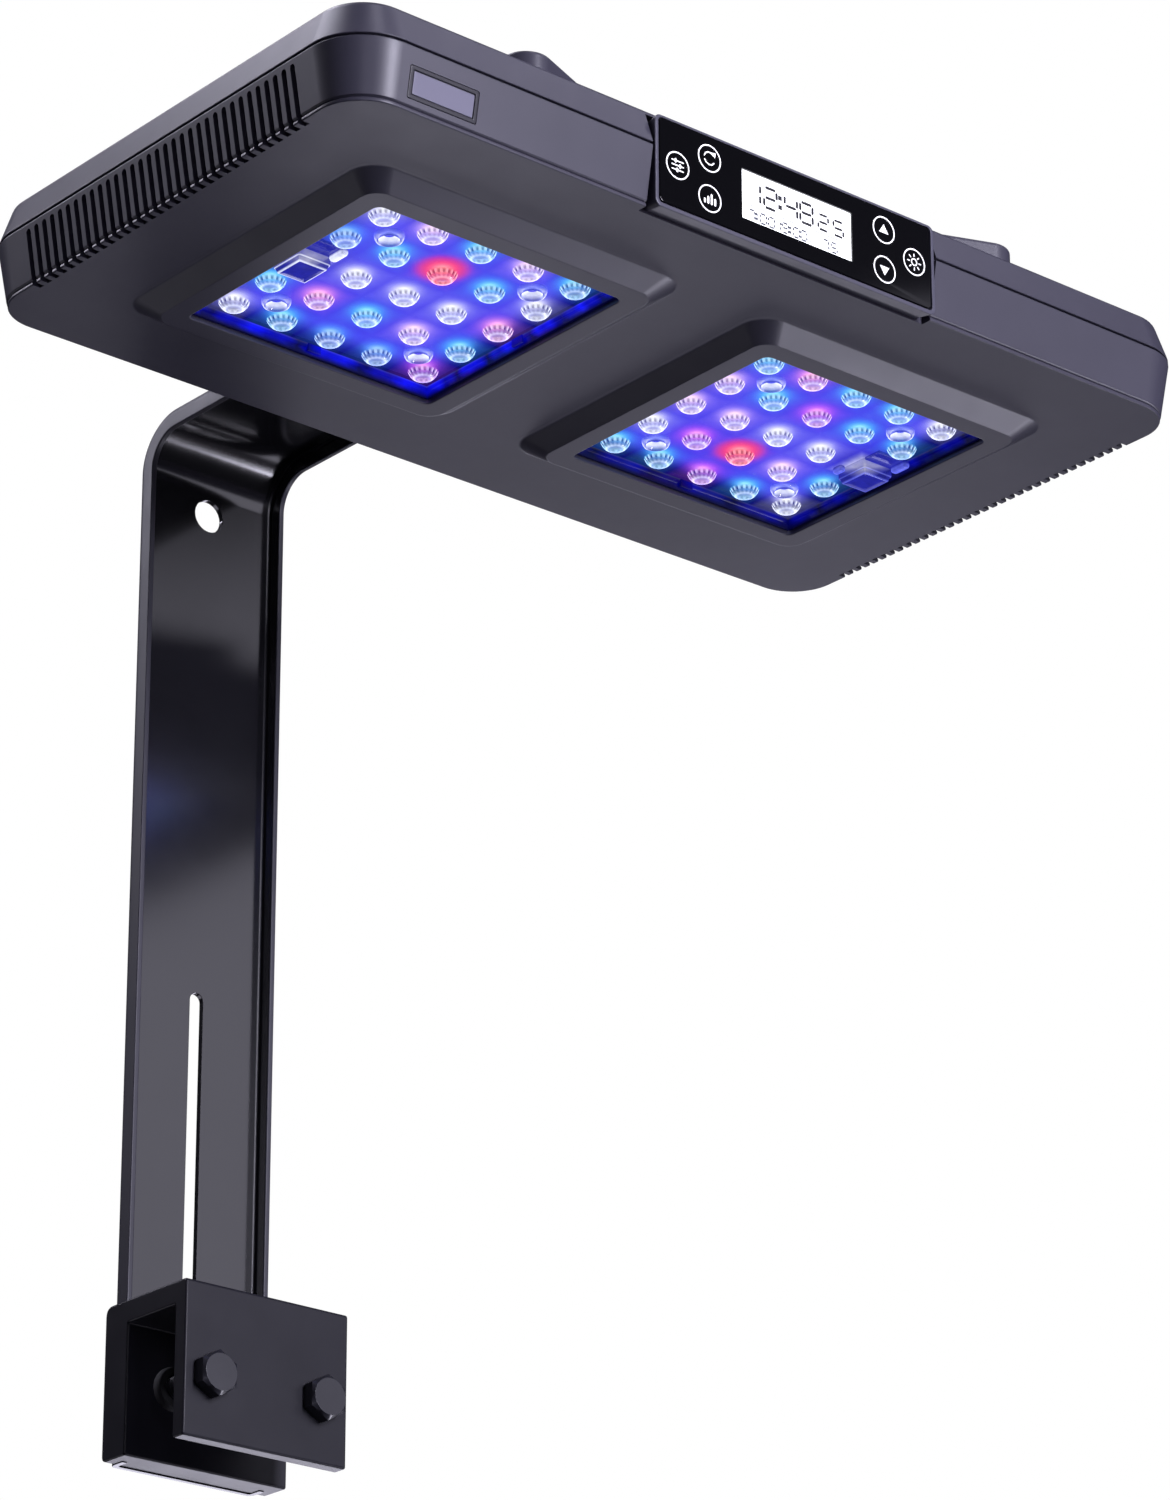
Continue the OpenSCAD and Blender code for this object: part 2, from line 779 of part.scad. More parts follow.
module lock_washer(k) color([0.60, 0.61, 0.65]) translate([0, 0, lock_z[k]]) difference() {
    rod_y(6.5, arm_y + 0.05, arm_y + 1.25);
    rod_y(m5_r + run_fit, arm_y - 1, arm_y + 3);
}

module lock_stud(k) color([0.60, 0.61, 0.65]) translate([0, 0, lock_z[k]])
    rod_y(m5_r, clamp_gap / 2 + 0.4, arm_y + 5);

module lock_knob(k) color([0.09, 0.09, 0.10]) translate([0, 0, lock_z[k]]) difference() {
    union() {
        rod_y(5, arm_y + 1.3, arm_y + 3);
        rod_y(9, arm_y + 2.5, arm_y + 9);
    }
    rod_y(m5_r, arm_y, arm_y + 5);
    for (a = [0:45:315])
        rotate([0, a, 0])
            translate([10.2, 0, 0])
                rod_y(2.2, arm_y + 2, arm_y + 10);
}

bottom_case();
top_cover();
panel_frame();
panel_glass();
lcd_module();
control_board();
touch_springs();
name_badge();
lens_array(left);  // lens_array_left
lens_array(right);  // lens_array_right
lens_gasket(left);  // lens_gasket_left
lens_gasket(right);  // lens_gasket_right
led_board(left);  // led_board_left
led_board(right);  // led_board_right
led_emitters(left);  // led_emitters_left
led_emitters(right);  // led_emitters_right
led_connectors();
lens_screws();
heatsink(left);  // heatsink_left
heatsink(right);  // heatsink_right
heatsink_screws();
fan_frame(left);  // fan_frame_left
fan_frame(right);  // fan_frame_right
fan_rotor(left);  // fan_rotor_left
fan_rotor(right);  // fan_rotor_right
fan_screws();
driver_board();
driver_components();
board_screws();
wiring_harness();
dc_inlet();
case_screws();
arm_spacer();
arm_nut_plate();
arm_screws();
arm_washers();
arm();
clamp_body();
clamp_bolt(left);  // clamp_bolt_left
clamp_bolt(right);  // clamp_bolt_right
clamp_pad(left);  // clamp_pad_left
clamp_pad(right);  // clamp_pad_right
lock_washer(0);  // lock_washer_upper
lock_washer(1);  // lock_washer_lower
lock_stud(0);  // lock_stud_upper
lock_stud(1);  // lock_stud_lower
lock_knob(0);  // lock_knob_upper
lock_knob(1);  // lock_knob_lower
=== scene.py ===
"""LED aquarium light: the looks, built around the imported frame.

Shapes are worked out in millimetres, in the head's own axes (origin at the centre of its
underside) or in the part's own axes, and scaled to metres when a piece is made.
"""
import math
import bmesh
import bpy
from mathutils import Matrix, Vector

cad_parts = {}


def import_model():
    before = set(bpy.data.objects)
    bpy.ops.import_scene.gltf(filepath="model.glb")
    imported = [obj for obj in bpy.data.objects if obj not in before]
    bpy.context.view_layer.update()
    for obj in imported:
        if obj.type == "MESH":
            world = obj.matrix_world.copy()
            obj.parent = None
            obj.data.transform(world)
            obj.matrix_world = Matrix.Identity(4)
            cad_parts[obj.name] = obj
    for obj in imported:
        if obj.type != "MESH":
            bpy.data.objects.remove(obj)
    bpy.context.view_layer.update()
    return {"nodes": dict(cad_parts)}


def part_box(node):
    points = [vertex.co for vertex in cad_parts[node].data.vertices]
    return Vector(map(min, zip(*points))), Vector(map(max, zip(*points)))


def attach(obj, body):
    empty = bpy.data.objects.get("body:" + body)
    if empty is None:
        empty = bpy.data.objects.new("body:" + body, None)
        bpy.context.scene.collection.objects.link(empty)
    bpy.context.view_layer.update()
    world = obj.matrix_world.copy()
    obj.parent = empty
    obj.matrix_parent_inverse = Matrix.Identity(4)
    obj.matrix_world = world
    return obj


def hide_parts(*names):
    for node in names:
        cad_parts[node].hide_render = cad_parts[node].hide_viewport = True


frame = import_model()

MM = 0.001

# Head, as the frame has it
HEAD_HALF = (170.0, 94.0)
CORNER_R = 19.0
SEAM_Z = 19.8
SEAM_GAP = 0.8
DRAFT_LOW = 3.4
DRAFT_HIGH = 4.2
DECK_Z = 33.0
FLOOR_T = 2.6
WALL = 2.4
SURROUND_H = 4.6
WINDOW_X = 76.2
WINDOW_HALF = 46.85
PITCH = 18.4
PLATFORM_Z = 40.2
FAN_X = 62.0
# Half length, lower edge, upper edge
PANEL = (56.6, -0.3, 30.5)
GLASS = (54.8, 1.5, 29.9)
DISPLAY = (22.3, 7.0, 23.7)
PANEL_DEPTH = 7.0
# Middle along x and z, length, height
BADGE = (-135.2, 8.8, 25.5, 10.4)
VENT_COUNT = 33
VENT_PITCH = 4.1
INLET_X = 120.0
INLET_Z = 11.0

# Arm and clamp, in the part's own axes
ARM_Y = 26.0
ARM_TOP = 318.0
ARM_W = 55.5
ARM_H = 7.2
SHEET = 2.0
BEND_R = 19.0
ARM_LOW = -43.1
ARM_END = -217.9
# Slots: length, width, middle along the arm
LOCK_SLOT = (156.4, 5.2, 42.2)
CABLE_HOLE = (11.52, 11.5, 291.8)
REACH_SLOT = (86.0, 5.2, -164.9)
CLAMP_HALF = 31.7
CLAMP_GAP = 25.0
CLAMP_LOW = -42.8
CLAMP_TOP = 7.5
CLAMP_FRONT = -CLAMP_GAP / 2 - 5.6
CLAMP_REAR = CLAMP_GAP / 2 + 12.1
BOLT_HEAD = 5.3
BOLT_FLATS = 13.0
BOLT_R = 3.98
BOLT_PITCH = 1.25
STUD_R = 2.48
STUD_PITCH = 0.8
# The bolts' distance to each side and their height
BOLT_AT = (21.2, -22.2)
LOCK_Z = (-8.0, -30.0)

case_low, case_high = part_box("bottom_case")
HEAD_AT = Vector(((case_low[0] + case_high[0]) / 2, (case_low[1] + case_high[1]) / 2,
                  case_low[2] + SURROUND_H * MM))
SIDES = {-1: "left", 1: "right"}
SCALE = Matrix.Diagonal((MM, MM, MM, 1.0))
IN_HEAD = Matrix.Translation(HEAD_AT) @ SCALE
IN_PART = SCALE


# ---------------------------------------------------------------- mesh helpers

def rounded_path(points, steps=4):
    """A polyline through (x, y, radius) points, each inner corner rounded by its radius."""
    path = [points[0][:2]]
    for before, here, after in zip(points, points[1:], points[2:]):
        p = Vector(here[:2])
        u = Vector(before[:2]) - p
        v = Vector(after[:2]) - p
        r = here[2]
        if r <= 0 or u.length < 1e-6 or v.length < 1e-6:
            path.append(tuple(p))
            continue
        half = u.angle(v) / 2
        reach = min(r / math.tan(half), 0.49 * u.length, 0.49 * v.length)
        a, b = p + u.normalized() * reach, p + v.normalized() * reach
        for k in range(steps + 1):
            t = k / steps
            path.append(tuple((1 - t) ** 2 * a + 2 * t * (1 - t) * p + t * t * b))
    path.append(points[-1][:2])
    return path


def rect_loop(half_x, half_y, radius, z, centre=(0.0, 0.0), steps=10):
    """A rounded rectangle at height z."""
    loop = []
    r = max(radius, 0.05)
    for k, (sx, sy) in enumerate(((1, 1), (-1, 1), (-1, -1), (1, -1))):
        for step in range(steps + 1):
            a = math.radians(90 * k + 90 * step / steps)
            loop.append((centre[0] + sx * (half_x - r) + r * math.cos(a),
                         centre[1] + sy * (half_y - r) + r * math.sin(a), z))
    return loop


def circle_loop(radius, z, steps=48, centre=(0.0, 0.0), wave=None):
    """A circle at height z; wave(radius, angle, z) gives the radius where it isn't constant."""
    loop = []
    for k in range(steps):
        a = 2 * math.pi * k / steps
        r = radius if wave is None else wave(radius, a, z)
        loop.append((centre[0] + r * math.cos(a), centre[1] + r * math.sin(a), z))
    return loop


def loft(bm, loops, caps=(True, True), closed=False, material=0):
    """Skins the loops in order. closed joins the last loop to the first."""
    rings = [[bm.verts.new(p) for p in loop] for loop in loops]
    pairs = list(zip(rings, rings[1:]))
    if closed:
        pairs.append((rings[-1], rings[0]))
    for a, b in pairs:
        for k in range(len(a)):
            n = (k + 1) % len(a)
            bm.faces.new((a[k], a[n], b[n], b[k])).material_index = material
    if caps[0] and not closed:
        bm.faces.new(list(reversed(rings[0]))).material_index = material
    if caps[1] and not closed:
        bm.faces.new(rings[-1]).material_index = material
    return rings


def block(bm, low, high, edge=0.3, material=0):
    """A box with softened edges all round."""
    cx, cy = (low[0] + high[0]) / 2, (low[1] + high[1]) / 2
    hx, hy = (high[0] - low[0]) / 2, (high[1] - low[1]) / 2
    loops = []
    for z, s in ((low[2], 1), (high[2], -1)):
        ring = [(edge * (1 - math.sin(a)), z + s * edge * (1 - math.cos(a)))
                for a in (0.0, math.pi / 4, math.pi / 2)]
        ring = ring if s > 0 else ring[::-1]
        loops += [rect_loop(hx - i, hy - i, max(edge * 1.2 - i, 0.06), zz, (cx, cy), 3)
                  for i, zz in ring]
    loft(bm, loops, material=material)


def lathe(bm, profile, steps=48, centre=(0.0, 0.0), wave=None, material=0):
    """Turns (radius, z) points about a vertical axis; a first or last radius of 0 closes it."""
    loops = [circle_loop(max(r, 0.01), z, steps, centre, wave if r > 0.5 else None)
             for r, z in profile]
    loft(bm, loops, material=material)


def along_y(x, y, z):
    """Stands a shape made along +Z so that it points along +Y from the given place."""
    return Matrix.Translation((x, y, z)) @ Matrix.Rotation(-math.pi / 2, 4, "X")


def shift_new(bm, before, matrix):
    """Moves the points that were added since before was taken."""
    bmesh.ops.transform(bm, matrix=matrix, verts=[v for v in bm.verts if v not in before])


def mesh_object(name, bm, place, materials=()):
    """Turns a shape in the head's or the part's axes into an object in metres."""
    bmesh.ops.recalc_face_normals(bm, faces=bm.faces)
    mesh = bpy.data.meshes.new(name)
    bm.to_mesh(mesh)
    bm.free()
    mesh.transform(place)
    for material in materials:
        mesh.materials.append(material)
    obj = bpy.data.objects.new(name, mesh)
    bpy.context.scene.collection.objects.link(obj)
    return obj


def combine(obj, cutter, operation="DIFFERENCE"):
    """Applies a boolean and drops the cutter."""
    modifier = obj.modifiers.new("cut", "BOOLEAN")
    modifier.object = cutter
    modifier.operation = operation
    modifier.solver = "EXACT"
    graph = bpy.context.evaluated_depsgraph_get()
    mesh = bpy.data.meshes.new_from_object(obj.evaluated_get(graph))
    obj.modifiers.clear()
    old = obj.data
    obj.data = mesh
    mesh.name = obj.name
    bpy.data.meshes.remove(old)
    bpy.data.objects.remove(cutter)


def shade(obj, angle=38.0):
    """Smooth shading that stays sharp at edges steeper than angle."""
    obj.data.shade_smooth()
    obj.data.set_sharp_from_angle(angle=math.radians(angle))
    weighted = obj.modifiers.new("weighted", "WEIGHTED_NORMAL")
    weighted.keep_sharp = True
    weighted.weight = 80


def soften(obj, width, segments=2, angle=50.0):
    """Bevels the edges steeper than angle; width is in millimetres."""
    bevel = obj.modifiers.new("edges", "BEVEL")
    bevel.width = width * MM
    bevel.segments = segments
    bevel.limit_method = "ANGLE"
    bevel.angle_limit = math.radians(angle)
    bevel.harden_normals = False


def place_piece(obj, body, replaces=(), angle=38.0):
    """Says which body the piece rides on, and the CAD nodes it stands for."""
    shade(obj, angle)
    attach(obj, body)
    if replaces:
        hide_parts(*replaces)


# ---------------------------------------------------------------- materials

class Nodes:
    """Short names for building a node tree."""

    def __init__(self, name):
        self.material = bpy.data.materials.new(name)
        self.material.use_nodes = True
        self.tree = self.material.node_tree
        self.shader = self.tree.nodes["Principled BSDF"]

    def add(self, kind, **values):
        node = self.tree.nodes.new(kind)
        for key, value in values.items():
            if key in node.inputs:
                node.inputs[key].default_value = value
            else:
                setattr(node, key, value)
        return node

    def link(self, a, out, b, into):
        self.tree.links.new(a.outputs[out], b.inputs[into])

    def place(self):
        return self.add("ShaderNodeTexCoord")

    def noise(self, scale, detail=3.0, roughness=0.55, stretch=None):
        noise = self.add("ShaderNodeTexNoise", Scale=scale, Detail=detail, Roughness=roughness)
        place = self.place()
        if stretch:
            mapping = self.add("ShaderNodeMapping")
            mapping.inputs["Scale"].default_value = stretch
            self.link(place, "Object", mapping, "Vector")
            self.link(mapping, "Vector", noise, "Vector")
        else:
            self.link(place, "Object", noise, "Vector")
        return noise

    def ramp(self, source, out, low, high):
        ramp = self.add("ShaderNodeValToRGB")
        ramp.color_ramp.elements[0].position = 0.3
        ramp.color_ramp.elements[1].position = 0.7
        ramp.color_ramp.elements[0].color = low
        ramp.color_ramp.elements[1].color = high
        self.link(source, out, ramp, "Fac")
        return ramp

    def spread(self, source, out, low, high):
        """Maps a 0..1 value to low..high."""
        spread = self.add("ShaderNodeMapRange")
        spread.inputs["To Min"].default_value = low
        spread.inputs["To Max"].default_value = high
        self.link(source, out, spread, "Value")
        return spread

    def bump(self, source, out, strength, distance):
        bump = self.add("ShaderNodeBump", Strength=strength, Distance=distance)
        self.link(source, out, bump, "Height")
        self.link(bump, "Normal", self.shader, "Normal")

    def set(self, **values):
        for key, value in values.items():
            self.shader.inputs[key.replace("_", " ")].default_value = value


def tint(color, k):
    """The colour made k times as bright, with full alpha."""
    return (min(color[0] * k, 1), min(color[1] * k, 1), min(color[2] * k, 1), 1)


def coated(name, color, rough, grain=2600.0, grain_depth=0.00002, strength=0.25,
           specular=0.5, mottle=0.06, ior=1.5, glow=0.0):
    """Moulded plastic or powder coat: fine grain, slight mottling, uneven gloss."""
    n = Nodes(name)
    n.set(Specular_IOR_Level=specular, IOR=ior)
    if glow:
        n.set(Emission_Color=(*color, 1.0), Emission_Strength=glow)
    broad = n.noise(34.0, 4.0)
    colors = n.ramp(broad, "Fac", tint(color, 1 - mottle), tint(color, 1 + mottle))
    n.link(colors, "Color", n.shader, "Base Color")
    gloss = n.noise(70.0, 5.0)
    spread = n.spread(gloss, "Fac", rough * 0.86, min(rough * 1.14, 1.0))
    n.link(spread, "Result", n.shader, "Roughness")
    fine = n.noise(grain, 2.0)
    n.bump(fine, "Fac", strength, grain_depth)
    return n.material


def brushed(name, color, rough, stretch=(40, 900, 900)):
    """Bare metal with fine streaks along its first axis."""
    n = Nodes(name)
    n.set(Metallic=1.0)
    streaks = n.noise(1.0, 6.0, 0.6, stretch)
    colors = n.ramp(streaks, "Fac", tint(color, 0.86), tint(color, 1.08))
    n.link(colors, "Color", n.shader, "Base Color")
    spread = n.spread(streaks, "Fac", rough * 0.75, rough * 1.3)
    n.link(spread, "Result", n.shader, "Roughness")
    n.bump(streaks, "Fac", 0.2, 0.00002)
    return n.material


def circuit(name, board, track, rough):
    """Solder-masked board: copper tracks show as a paler net under the mask."""
    n = Nodes(name)
    cells = n.add("ShaderNodeTexBrick", Scale=230.0)
    cells.inputs["Color1"].default_value = board
    cells.inputs["Color2"].default_value = tint(board, 1.25)
    cells.inputs["Mortar"].default_value = track
    cells.inputs["Mortar Size"].default_value = 0.035
    n.link(n.place(), "Object", cells, "Vector")
    n.link(cells, "Color", n.shader, "Base Color")
    n.bump(cells, "Fac", 0.3, 0.00003)
    n.set(Roughness=rough)
    return n.material


def clear_shell(name):
    """Thin clear moulding: painted light, painted cover, more of both where seen edge on."""
    n = Nodes(name)
    paint = n.add("ShaderNodeVertexColor", layer_name="glow")
    facing = n.add("ShaderNodeLayerWeight", Blend=0.35)
    edge = n.spread(facing, "Facing", 0.70, 1.60)
    # Noise that streaks the painted light and bumps the surface faintly.
    haze = n.noise(420.0, 4.0)
    streak = n.spread(haze, "Fac", 0.55, 1.45)
    level = n.add("ShaderNodeMath", operation="MULTIPLY")
    n.link(edge, "Result", level, 0)
    n.link(streak, "Result", level, 1)
    scaled = n.add("ShaderNodeVectorMath", operation="SCALE")
    n.link(paint, "Color", scaled, 0)
    n.link(level, "Value", scaled, "Scale")
    n.link(scaled, "Vector", n.shader, "Emission Color")
    cover = n.add("ShaderNodeMath", operation="MULTIPLY", use_clamp=True)
    n.link(paint, "Alpha", cover, 0)
    n.link(edge, "Result", cover, 1)
    n.link(cover, "Value", n.shader, "Alpha")
    n.bump(haze, "Fac", 0.05, 0.00002)
    n.set(Base_Color=(0.02, 0.02, 0.05, 1), Emission_Strength=1.15, Roughness=0.06)
    return n.material


def lit(name, strength, rough=0.3):
    """A surface that shines with the colour painted on its vertices."""
    n = Nodes(name)
    colors = n.add("ShaderNodeVertexColor", layer_name="glow")
    speckle = n.noise(900.0, 2.0)
    fade = n.spread(speckle, "Fac", 0.94, 1.06)
    scaled = n.add("ShaderNodeVectorMath", operation="SCALE")
    n.link(colors, "Color", scaled, 0)
    n.link(fade, "Result", scaled, "Scale")
    n.link(scaled, "Vector", n.shader, "Emission Color")
    n.set(Base_Color=(0.01, 0.01, 0.03, 1), Emission_Strength=strength, Roughness=rough,
          Specular_IOR_Level=0.1)
    return n.material


def glow(name, color, strength):
    """A lit face in one colour, very slightly mottled."""
    n = Nodes(name)
    patches = n.noise(60.0, 3.0)
    colors = n.ramp(patches, "Fac", tint(color, 0.97), tint(color, 1.0))
    n.link(colors, "Color", n.shader, "Emission Color")
    n.link(colors, "Color", n.shader, "Base Color")
    n.set(Emission_Strength=strength, Roughness=0.35)
    return n.material


HOUSING = coated("housing_plastic", (0.052, 0.050, 0.072), 0.38)
TRIM = coated("panel_trim", (0.085, 0.083, 0.115), 0.34)
ARM_COAT = coated("arm_powder_coat", (0.006, 0.006, 0.008), 0.155, grain=1400.0,
                  grain_depth=0.000012, strength=0.10, specular=1.0, ior=1.75)
ARM_FILLET = coated("arm_fillet_coat", (0.006, 0.006, 0.009), 0.36)
# The outer faces get a lighter copy of the arm's coat: painted light for the light they catch.
ARM_SIDE_LIT = coated("arm_side_lit_coat", (0.034, 0.033, 0.046), 0.46)
CLAMP_COAT = coated("clamp_powder_coat", (0.012, 0.0116, 0.017), 0.36, grain=1900.0,
                    grain_depth=0.00003, strength=0.3, specular=0.36)
DARK_STEEL = coated("black_oxide_steel", (0.020, 0.020, 0.026), 0.34, specular=0.6)
STEEL = brushed("bright_steel", (0.62, 0.63, 0.66), 0.28)
ALUMINIUM = brushed("fin_aluminium", (0.66, 0.67, 0.70), 0.38, (900, 30, 900))
RUBBER = coated("pad_rubber", (0.022, 0.022, 0.024), 0.78, grain=900.0, grain_depth=0.0001)
KNOB = coated("knob_plastic", (0.030, 0.030, 0.034), 0.5, grain=1200.0, grain_depth=0.00006)
FAN = coated("fan_plastic", (0.020, 0.020, 0.022), 0.42)
SOCKET = coated("socket_plastic", (0.018, 0.018, 0.020), 0.40)
PLUG = coated("plug_nylon", (0.78, 0.76, 0.70), 0.45)
PARTS = coated("power_parts", (0.05, 0.05, 0.055), 0.4, mottle=0.3)
WIRE = coated("wire_sleeve", (0.42, 0.03, 0.025), 0.45)
BRASS = brushed("spring_gilt", (0.80, 0.60, 0.28), 0.25)
BOARD = circuit("green_board", (0.012, 0.10, 0.035, 1), (0.05, 0.24, 0.10, 1), 0.35)
LED_BOARD = circuit("white_board", (0.80, 0.82, 0.80, 1), (0.70, 0.72, 0.70, 1), 0.5)
BLACK_GLASS = coated("black_glass", (0.004, 0.004, 0.005), 0.05, grain=300.0,
                     grain_depth=0.000002, strength=0.05)
BADGE_RIM = coated("badge_rim", (0.020, 0.019, 0.027), 0.3)
BADGE_FACE = coated("badge_face", (0.17, 0.165, 0.23), 0.30)
# The key print glows a little: painted light that keeps it bright white.
INK = glow("printed_white", (0.92, 0.92, 0.94), 0.75)
DISPLAY_LIGHT = glow("display_backlight", (0.98, 1.0, 1.0), 1.0)
DISPLAY_INK = coated("display_segments", (0.015, 0.015, 0.02), 0.4)
DISPLAY_FAINT = coated("display_small_segments", (0.10, 0.11, 0.13), 0.4)
LENS = clear_shell("clear_acrylic")
FILM = lit("glow_film", 1.0)
LED_LIGHT = lit("led_light", 1.3)
SKIRT = lit("skirt_glow", 1.0, 0.15)
CERAMIC = coated("led_ceramic", (0.75, 0.75, 0.72), 0.5)


# ---------------------------------------------------------------- head shells

def wall_loops(profile, steps=14):
    """Rounded-rectangle loops for (inset, z) points of a head wall."""
    return [rect_loop(HEAD_HALF[0] - i, HEAD_HALF[1] - i, max(CORNER_R - i, 2.0), z, steps=steps)
            for i, z in profile]


def surround(bm, side):
    """The raised frame round a light window: flared foot, bevel, flat rim and opening."""
    path = rounded_path([
        (63.0, 0.9, 0), (62.9, -0.02, 0), (61.2, -0.02, 1.6), (54.3, -SURROUND_H, 0.9),
        (WINDOW_HALF, -SURROUND_H, 0.45), (WINDOW_HALF, 2.3, 0), (60.0, 2.3, 0)], 5)
    loops = []
    for half, z in path:
        radius = 2.6 + max(half - WINDOW_HALF, 0) * 0.46
        loops.append(rect_loop(half, half, radius, z, (side * WINDOW_X, 0), 10))
    loft(bm, loops, closed=True)


def vent_cutters(bm):
    """Slots in both ends; each runs down the wall and under the bottom edge."""
    half_w, top, low, inner = 1.08, 17.7, -1.5, 163.7
    for side in (-1, 1):
        for k in range(VENT_COUNT):
            y = (k - (VENT_COUNT - 1) / 2) * VENT_PITCH
            outline = [(y - half_w, low), (y + half_w, low)]
            for step in range(9):
                a = math.pi * step / 8
                outline.append((y + half_w * math.cos(a), top - half_w + half_w * math.sin(a)))
            loops = [[(side * x, py, pz) for py, pz in outline] for x in (inner, 172.0)]
            loft(bm, loops)


def panel_pocket():
    """Cutter for the place of the control panel in the front wall."""
    bm = bmesh.new()
    loft(bm, [rect_loop(57.4, 10.0, 0.3, z, (0, -97.0), 2) for z in (-2.0, 30.9)])
    return mesh_object("pocket_cutter", bm, IN_HEAD)


def case_shell():
    """The lower half: drafted wall, floor with both surrounds, vents and the panel's pocket."""
    profile = rounded_path([
        (12.0, 0, 0), (3.45, 0, 0.45), (3.45, 0.95, 0.15), (4.0, 1.4, 0.1), (3.05, 1.9, 0.25),
        (0.0, SEAM_Z - SEAM_GAP / 2, 0.35), (1.4, SEAM_Z - SEAM_GAP / 2, 0),
        (1.4, SEAM_Z + 2, 0), (2.4, SEAM_Z + 2, 0), (2.4, SEAM_Z - 1.5, 0),
        (DRAFT_LOW + WALL, FLOOR_T, 0.8), (14.0, FLOOR_T, 0)])
    bm = bmesh.new()
    loft(bm, wall_loops(profile))
    shell = mesh_object("case_shell", bm, IN_HEAD, [HOUSING])
    holes = bmesh.new()
    for side in (-1, 1):
        loft(holes, [rect_loop(56, 56, 5, z, (side * WINDOW_X, 0), 6) for z in (-9, 9)])
    combine(shell, mesh_object("window_cutter", holes, IN_HEAD))
    rings = bmesh.new()
    for side in (-1, 1):
        surround(rings, side)
    combine(shell, mesh_object("surrounds", rings, IN_HEAD), "UNION")
    slots = bmesh.new()
    vent_cutters(slots)
    combine(shell, mesh_object("vent_cutter", slots, IN_HEAD))
    combine(shell, panel_pocket())
    combine(shell, badge_recess())
    inlet = bmesh.new()
    lathe(inlet, [(5.0, 0), (5.0, 30)])
    inlet.transform(along_y(INLET_X, 75, INLET_Z))
    combine(shell, mesh_object("inlet_cutter", inlet, IN_HEAD))
    place_piece(shell, "head", ["bottom_case"], 30)


def bow_tie_loop(inset, z):
    """The raised platform's outline: full depth at both ends, narrow at the waist."""
    r, cx, cy = 8.0 - inset, 93.5, 78.5
    slope = math.radians(21)
    arc = [(cx + r * math.cos(a), cy + r * math.sin(a))
           for a in (math.radians(111 * k / 14) for k in range(15))]
    tx, ty = cx - r * math.sin(slope), cy + r * math.cos(slope)
    waist = (30.0, ty - (tx - 30.0) * math.tan(slope))
    blend = [(waist[0] + 12 * (1 - t) ** 2,
              waist[1] + 12 * (1 - t) ** 2 * math.tan(slope)) for t in (0, 0.33, 0.66, 1.0)]
    quarter = arc + blend
    loop = quarter + [(-x, y) for x, y in reversed(quarter)]
    loop += [(-x, -y) for x, y in quarter] + [(x, -y) for x, y in reversed(quarter)]
    return [(x, y, z) for x, y in loop]


def grille_cutters(bm):
    """Arc slots over each fan, six to a ring, with rounded ends."""
    for side in (-1, 1):
        for ring in (9.0, 15.0, 21.0, 27.0):
            for sector in range(6):
                inner, outer = ring + 0.2, ring + 3.8
                gap = 1.6 / ring
                start = math.radians(60 * sector) + gap
                end = math.radians(60 * (sector + 1)) - gap
                outline = []
                for radius, order in ((outer, range(13)), (inner, range(12, -1, -1))):
                    for k in order:
                        a = start + (end - start) * k / 12
                        outline.append((side * FAN_X + radius * math.cos(a), radius * math.sin(a)))
                loft(bm, [[(x, y, z) for x, y in outline] for z in (34, 42)])


def cover_shell():
    """The upper half: drafted wall, deck with the raised platform, grilles and screw sinks."""
    top = SEAM_Z + SEAM_GAP / 2
    profile = rounded_path([
        (20.0, DECK_Z, 0), (DRAFT_HIGH, DECK_Z, 2.8), (0.0, top, 0.35), (1.25, top, 0),
        (1.25, top + 2.1, 0), (WALL, top + 2.1, 0), (DRAFT_HIGH + WALL, 30.6, 1.2),
        (22.0, 30.6, 0)], 6)
    bm = bmesh.new()
    loft(bm, wall_loops(profile))
    shell = mesh_object("cover_shell", bm, IN_HEAD, [HOUSING])
    deck = rounded_path([(-0.9, 31.4, 0), (-0.9, DECK_Z + 0.02, 0), (0, DECK_Z + 0.02, 0.9),
                         (0, PLATFORM_Z, 1.3), (4.0, PLATFORM_Z, 0)], 5)
    bm = bmesh.new()
    loft(bm, [bow_tie_loop(i, z) for i, z in deck])
    combine(shell, mesh_object("platform", bm, IN_HEAD), "UNION")
    bm = bmesh.new()
    loft(bm, [bow_tie_loop(2.0, z) for z in (28.0, PLATFORM_Z - 2)])
    combine(shell, mesh_object("platform_hollow", bm, IN_HEAD))
    bm = bmesh.new()
    grille_cutters(bm)
    screws = [(x, y) for x in (-152, 152) for y in (-78, 0, 78)] + [(-40, 80), (40, 80)]
    for place in screws:
        lathe(bm, [(3.2, 31.8), (3.4, 34)], 32, place)
    combine(shell, mesh_object("hole_cutter", bm, IN_HEAD))
    combine(shell, panel_pocket())
    place_piece(shell, "head", ["top_cover"], 30)


# ---------------------------------------------------------------- name plate

def badge_frame():
    """Places a shape made flat at the plate's centre onto the sloping front wall."""
    x, z = BADGE[0], BADGE[1]
    y = -HEAD_HALF[1] + DRAFT_LOW * (1 - z / SEAM_Z)
    tilt = math.atan(DRAFT_LOW / SEAM_Z)
    return Matrix.Translation((x, y, z)) @ Matrix.Rotation(math.pi / 2 + tilt, 4, "X")


def badge_recess():
    """Cutter for the plate's shallow recess."""
    bm = bmesh.new()
    loft(bm, [rect_loop(BADGE[2] / 2, BADGE[3] / 2, 0.7, z, steps=4) for z in (-0.75, 2.0)])
    bm.transform(badge_frame())
    return mesh_object("badge_cutter", bm, IN_HEAD)


